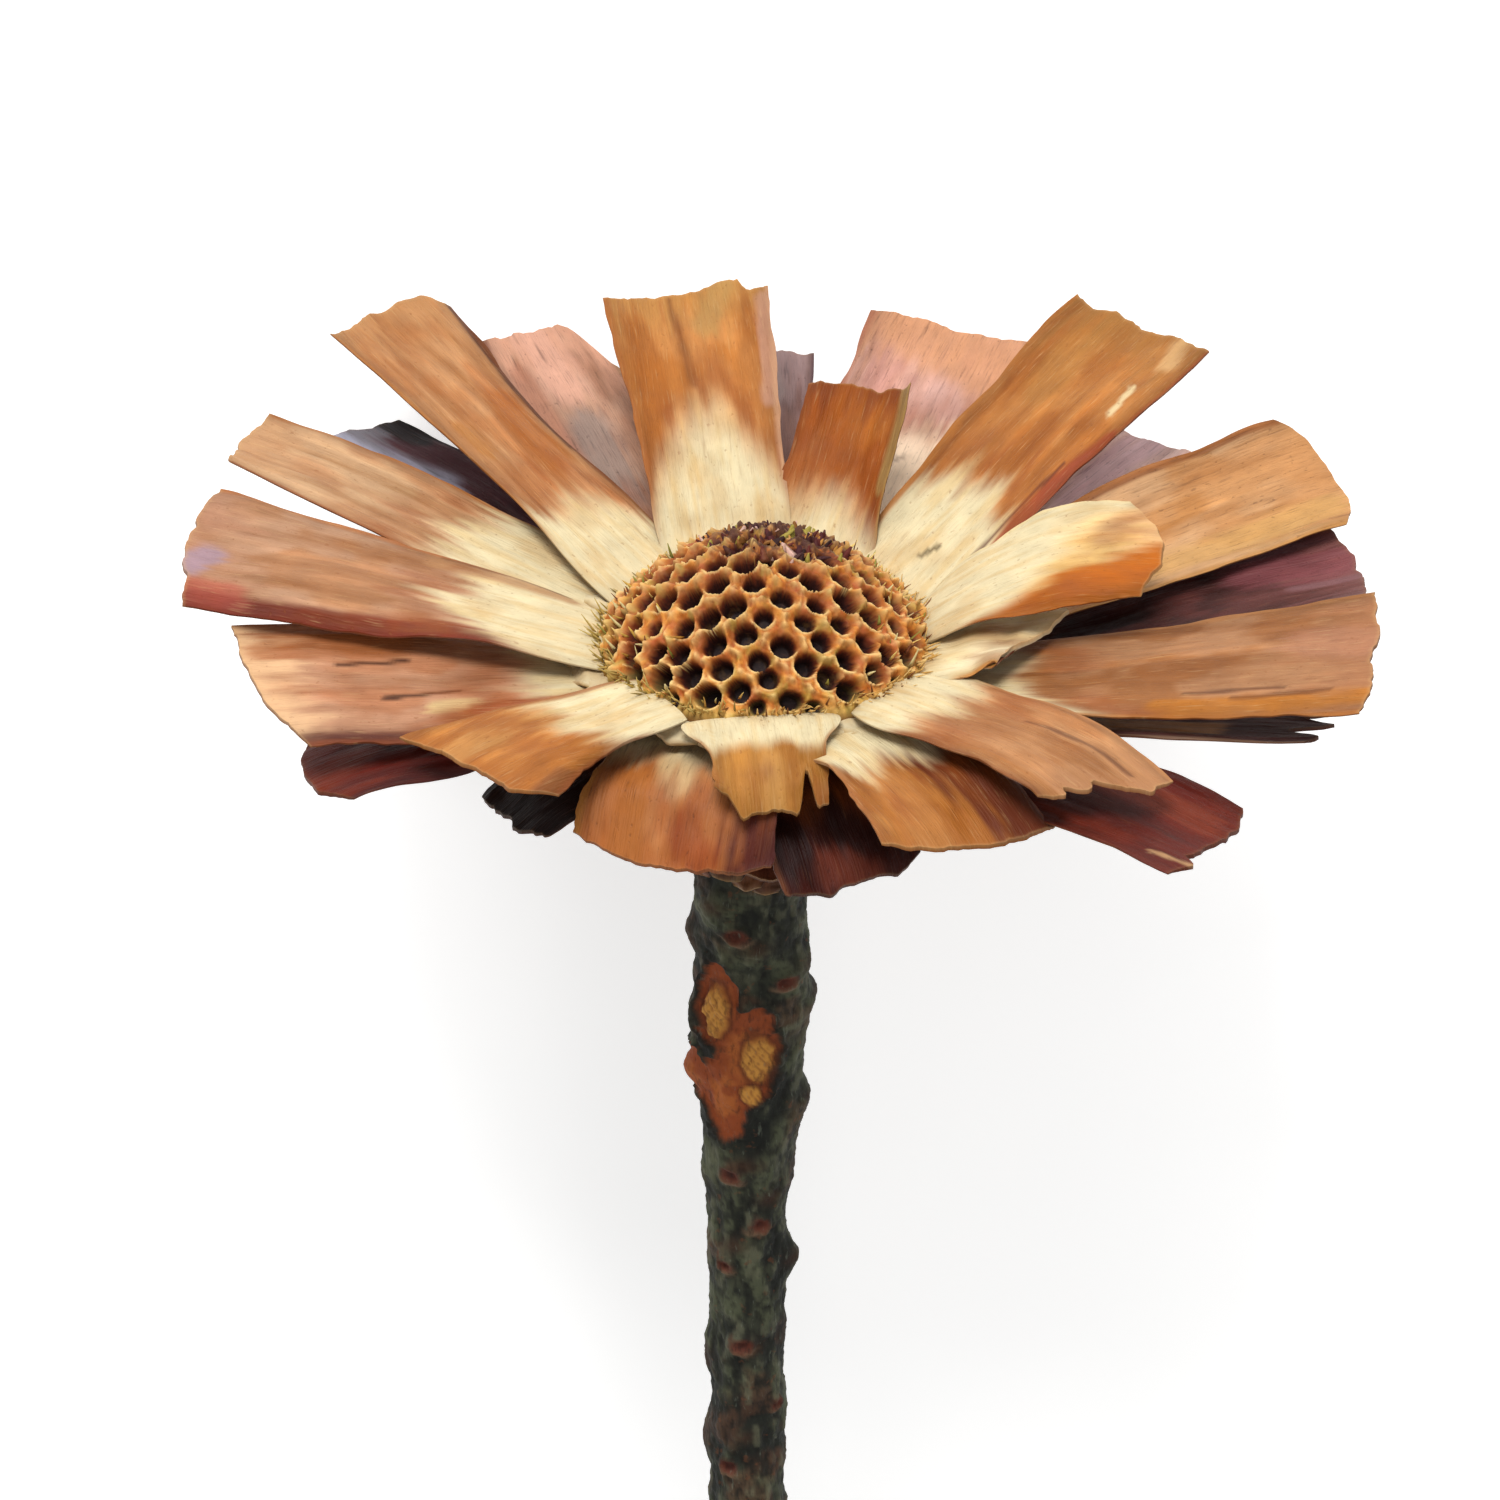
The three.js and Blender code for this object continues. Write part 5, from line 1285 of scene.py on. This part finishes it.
def makeCamera():
    # The camera stands in front of the head, above its rim, turned so that the disc's middle falls on
    # its place in the image. Its matrix is given in the flower's frame and laid down with it.
    up = math.radians(view["elevation"])
    focal = view["pixelsPerMm"] * view["distance"]
    centre = view["imageSize"] / 2
    back = Vector((0, -math.cos(up), math.sin(up)))
    place = back * view["distance"]
    right, top = Vector((1, 0, 0)), Vector((0, math.sin(up), math.cos(up)))
    sight = Vector((view["discPixel"][0] - centre, centre - view["discPixel"][1], -focal)).normalized()
    yaw = Matrix.Rotation(math.atan2(sight.x, -sight.z), 3, top)
    right, back = yaw @ right, yaw @ back
    pitch = Matrix.Rotation(-math.atan2(sight.y, math.hypot(sight.x, sight.z)), 3, right)
    top, back = pitch @ top, pitch @ back
    layDown = Matrix(flowerTurn.tolist())
    matrix = Matrix([layDown @ axis for axis in (right, top, back)]).transposed().to_4x4()
    matrix.translation = Vector(toWorld(np.array(place)).tolist())
    data = bpy.data.cameras.new("photoCamera")
    data.sensor_width = view["sensor"]
    data.lens = focal / view["imageSize"] * view["sensor"]
    data.clip_start, data.clip_end = view["clip"]
    camera = bpy.data.objects.new("photoCamera", data)
    bpy.context.scene.collection.objects.link(camera)
    camera.matrix_world = matrix
    bpy.context.scene.camera = camera


studioFloor = {"half": 4, "colours": ("F7F7F6", "FBFBFA"), "grain": 40.0, "roughness": 0.9, "shine": 0.1,
               "glow": 0.42}


def makeFloor():
    shop = MaterialShop("paleFloor")
    grain = shop.noise(shop.place(), studioFloor["grain"], 2.0)
    colour = shop.mix(grain, *[shop.colour(hexColour) for hexColour in studioFloor["colours"]])
    material = finishMaterial(shop, {
        "Base Color": colour, "Roughness": studioFloor["roughness"],
        "Specular IOR Level": studioFloor["shine"], "Emission Color": (1, 1, 1, 1),
        "Emission Strength": studioFloor["glow"],
    })
    half = studioFloor["half"]
    corners = [(-half, -half, 0), (half, -half, 0), (half, half, 0), (-half, half, 0)]
    mesh = bpy.data.meshes.new("studioFloor")
    mesh.from_pydata(corners, [], [(0, 1, 2, 3)])
    mesh.materials.append(material)
    floor = bpy.data.objects.new("studioFloor", mesh)
    bpy.context.scene.collection.objects.link(floor)


studioLights = [
    {"name": "keyLight", "place": (-0.12, 0.8, 0.5), "target": (0, 0.1, 0.03), "size": 0.4, "power": 6.6},
    {"name": "topLight", "place": (0.1, 0.0, 0.95), "target": (0, 0.05, 0.02), "size": 0.7, "power": 1.8},
]
studioSky = {"colour": (1, 1, 1, 1), "strength": 0.42, "viewTransform": "Standard"}


def makeLights():
    for light in studioLights:
        data = bpy.data.lights.new(light["name"], "AREA")
        data.shape, data.size, data.energy = "DISK", light["size"], light["power"]
        lamp = bpy.data.objects.new(light["name"], data)
        bpy.context.scene.collection.objects.link(lamp)
        lamp.location = light["place"]
        aim = Vector(light["target"]) - Vector(light["place"])
        lamp.rotation_euler = aim.to_track_quat("-Z", "Y").to_euler()
    world = bpy.data.worlds.new("studioSky")
    world.use_nodes = True
    sky = world.node_tree.nodes["Background"]
    sky.inputs["Color"].default_value = studioSky["colour"]
    sky.inputs["Strength"].default_value = studioSky["strength"]
    bpy.context.scene.world = world
    bpy.context.scene.view_settings.view_transform = studioSky["viewTransform"]


print("camera, floor and light")
makeCamera()
makeFloor()
makeLights()

print("done")
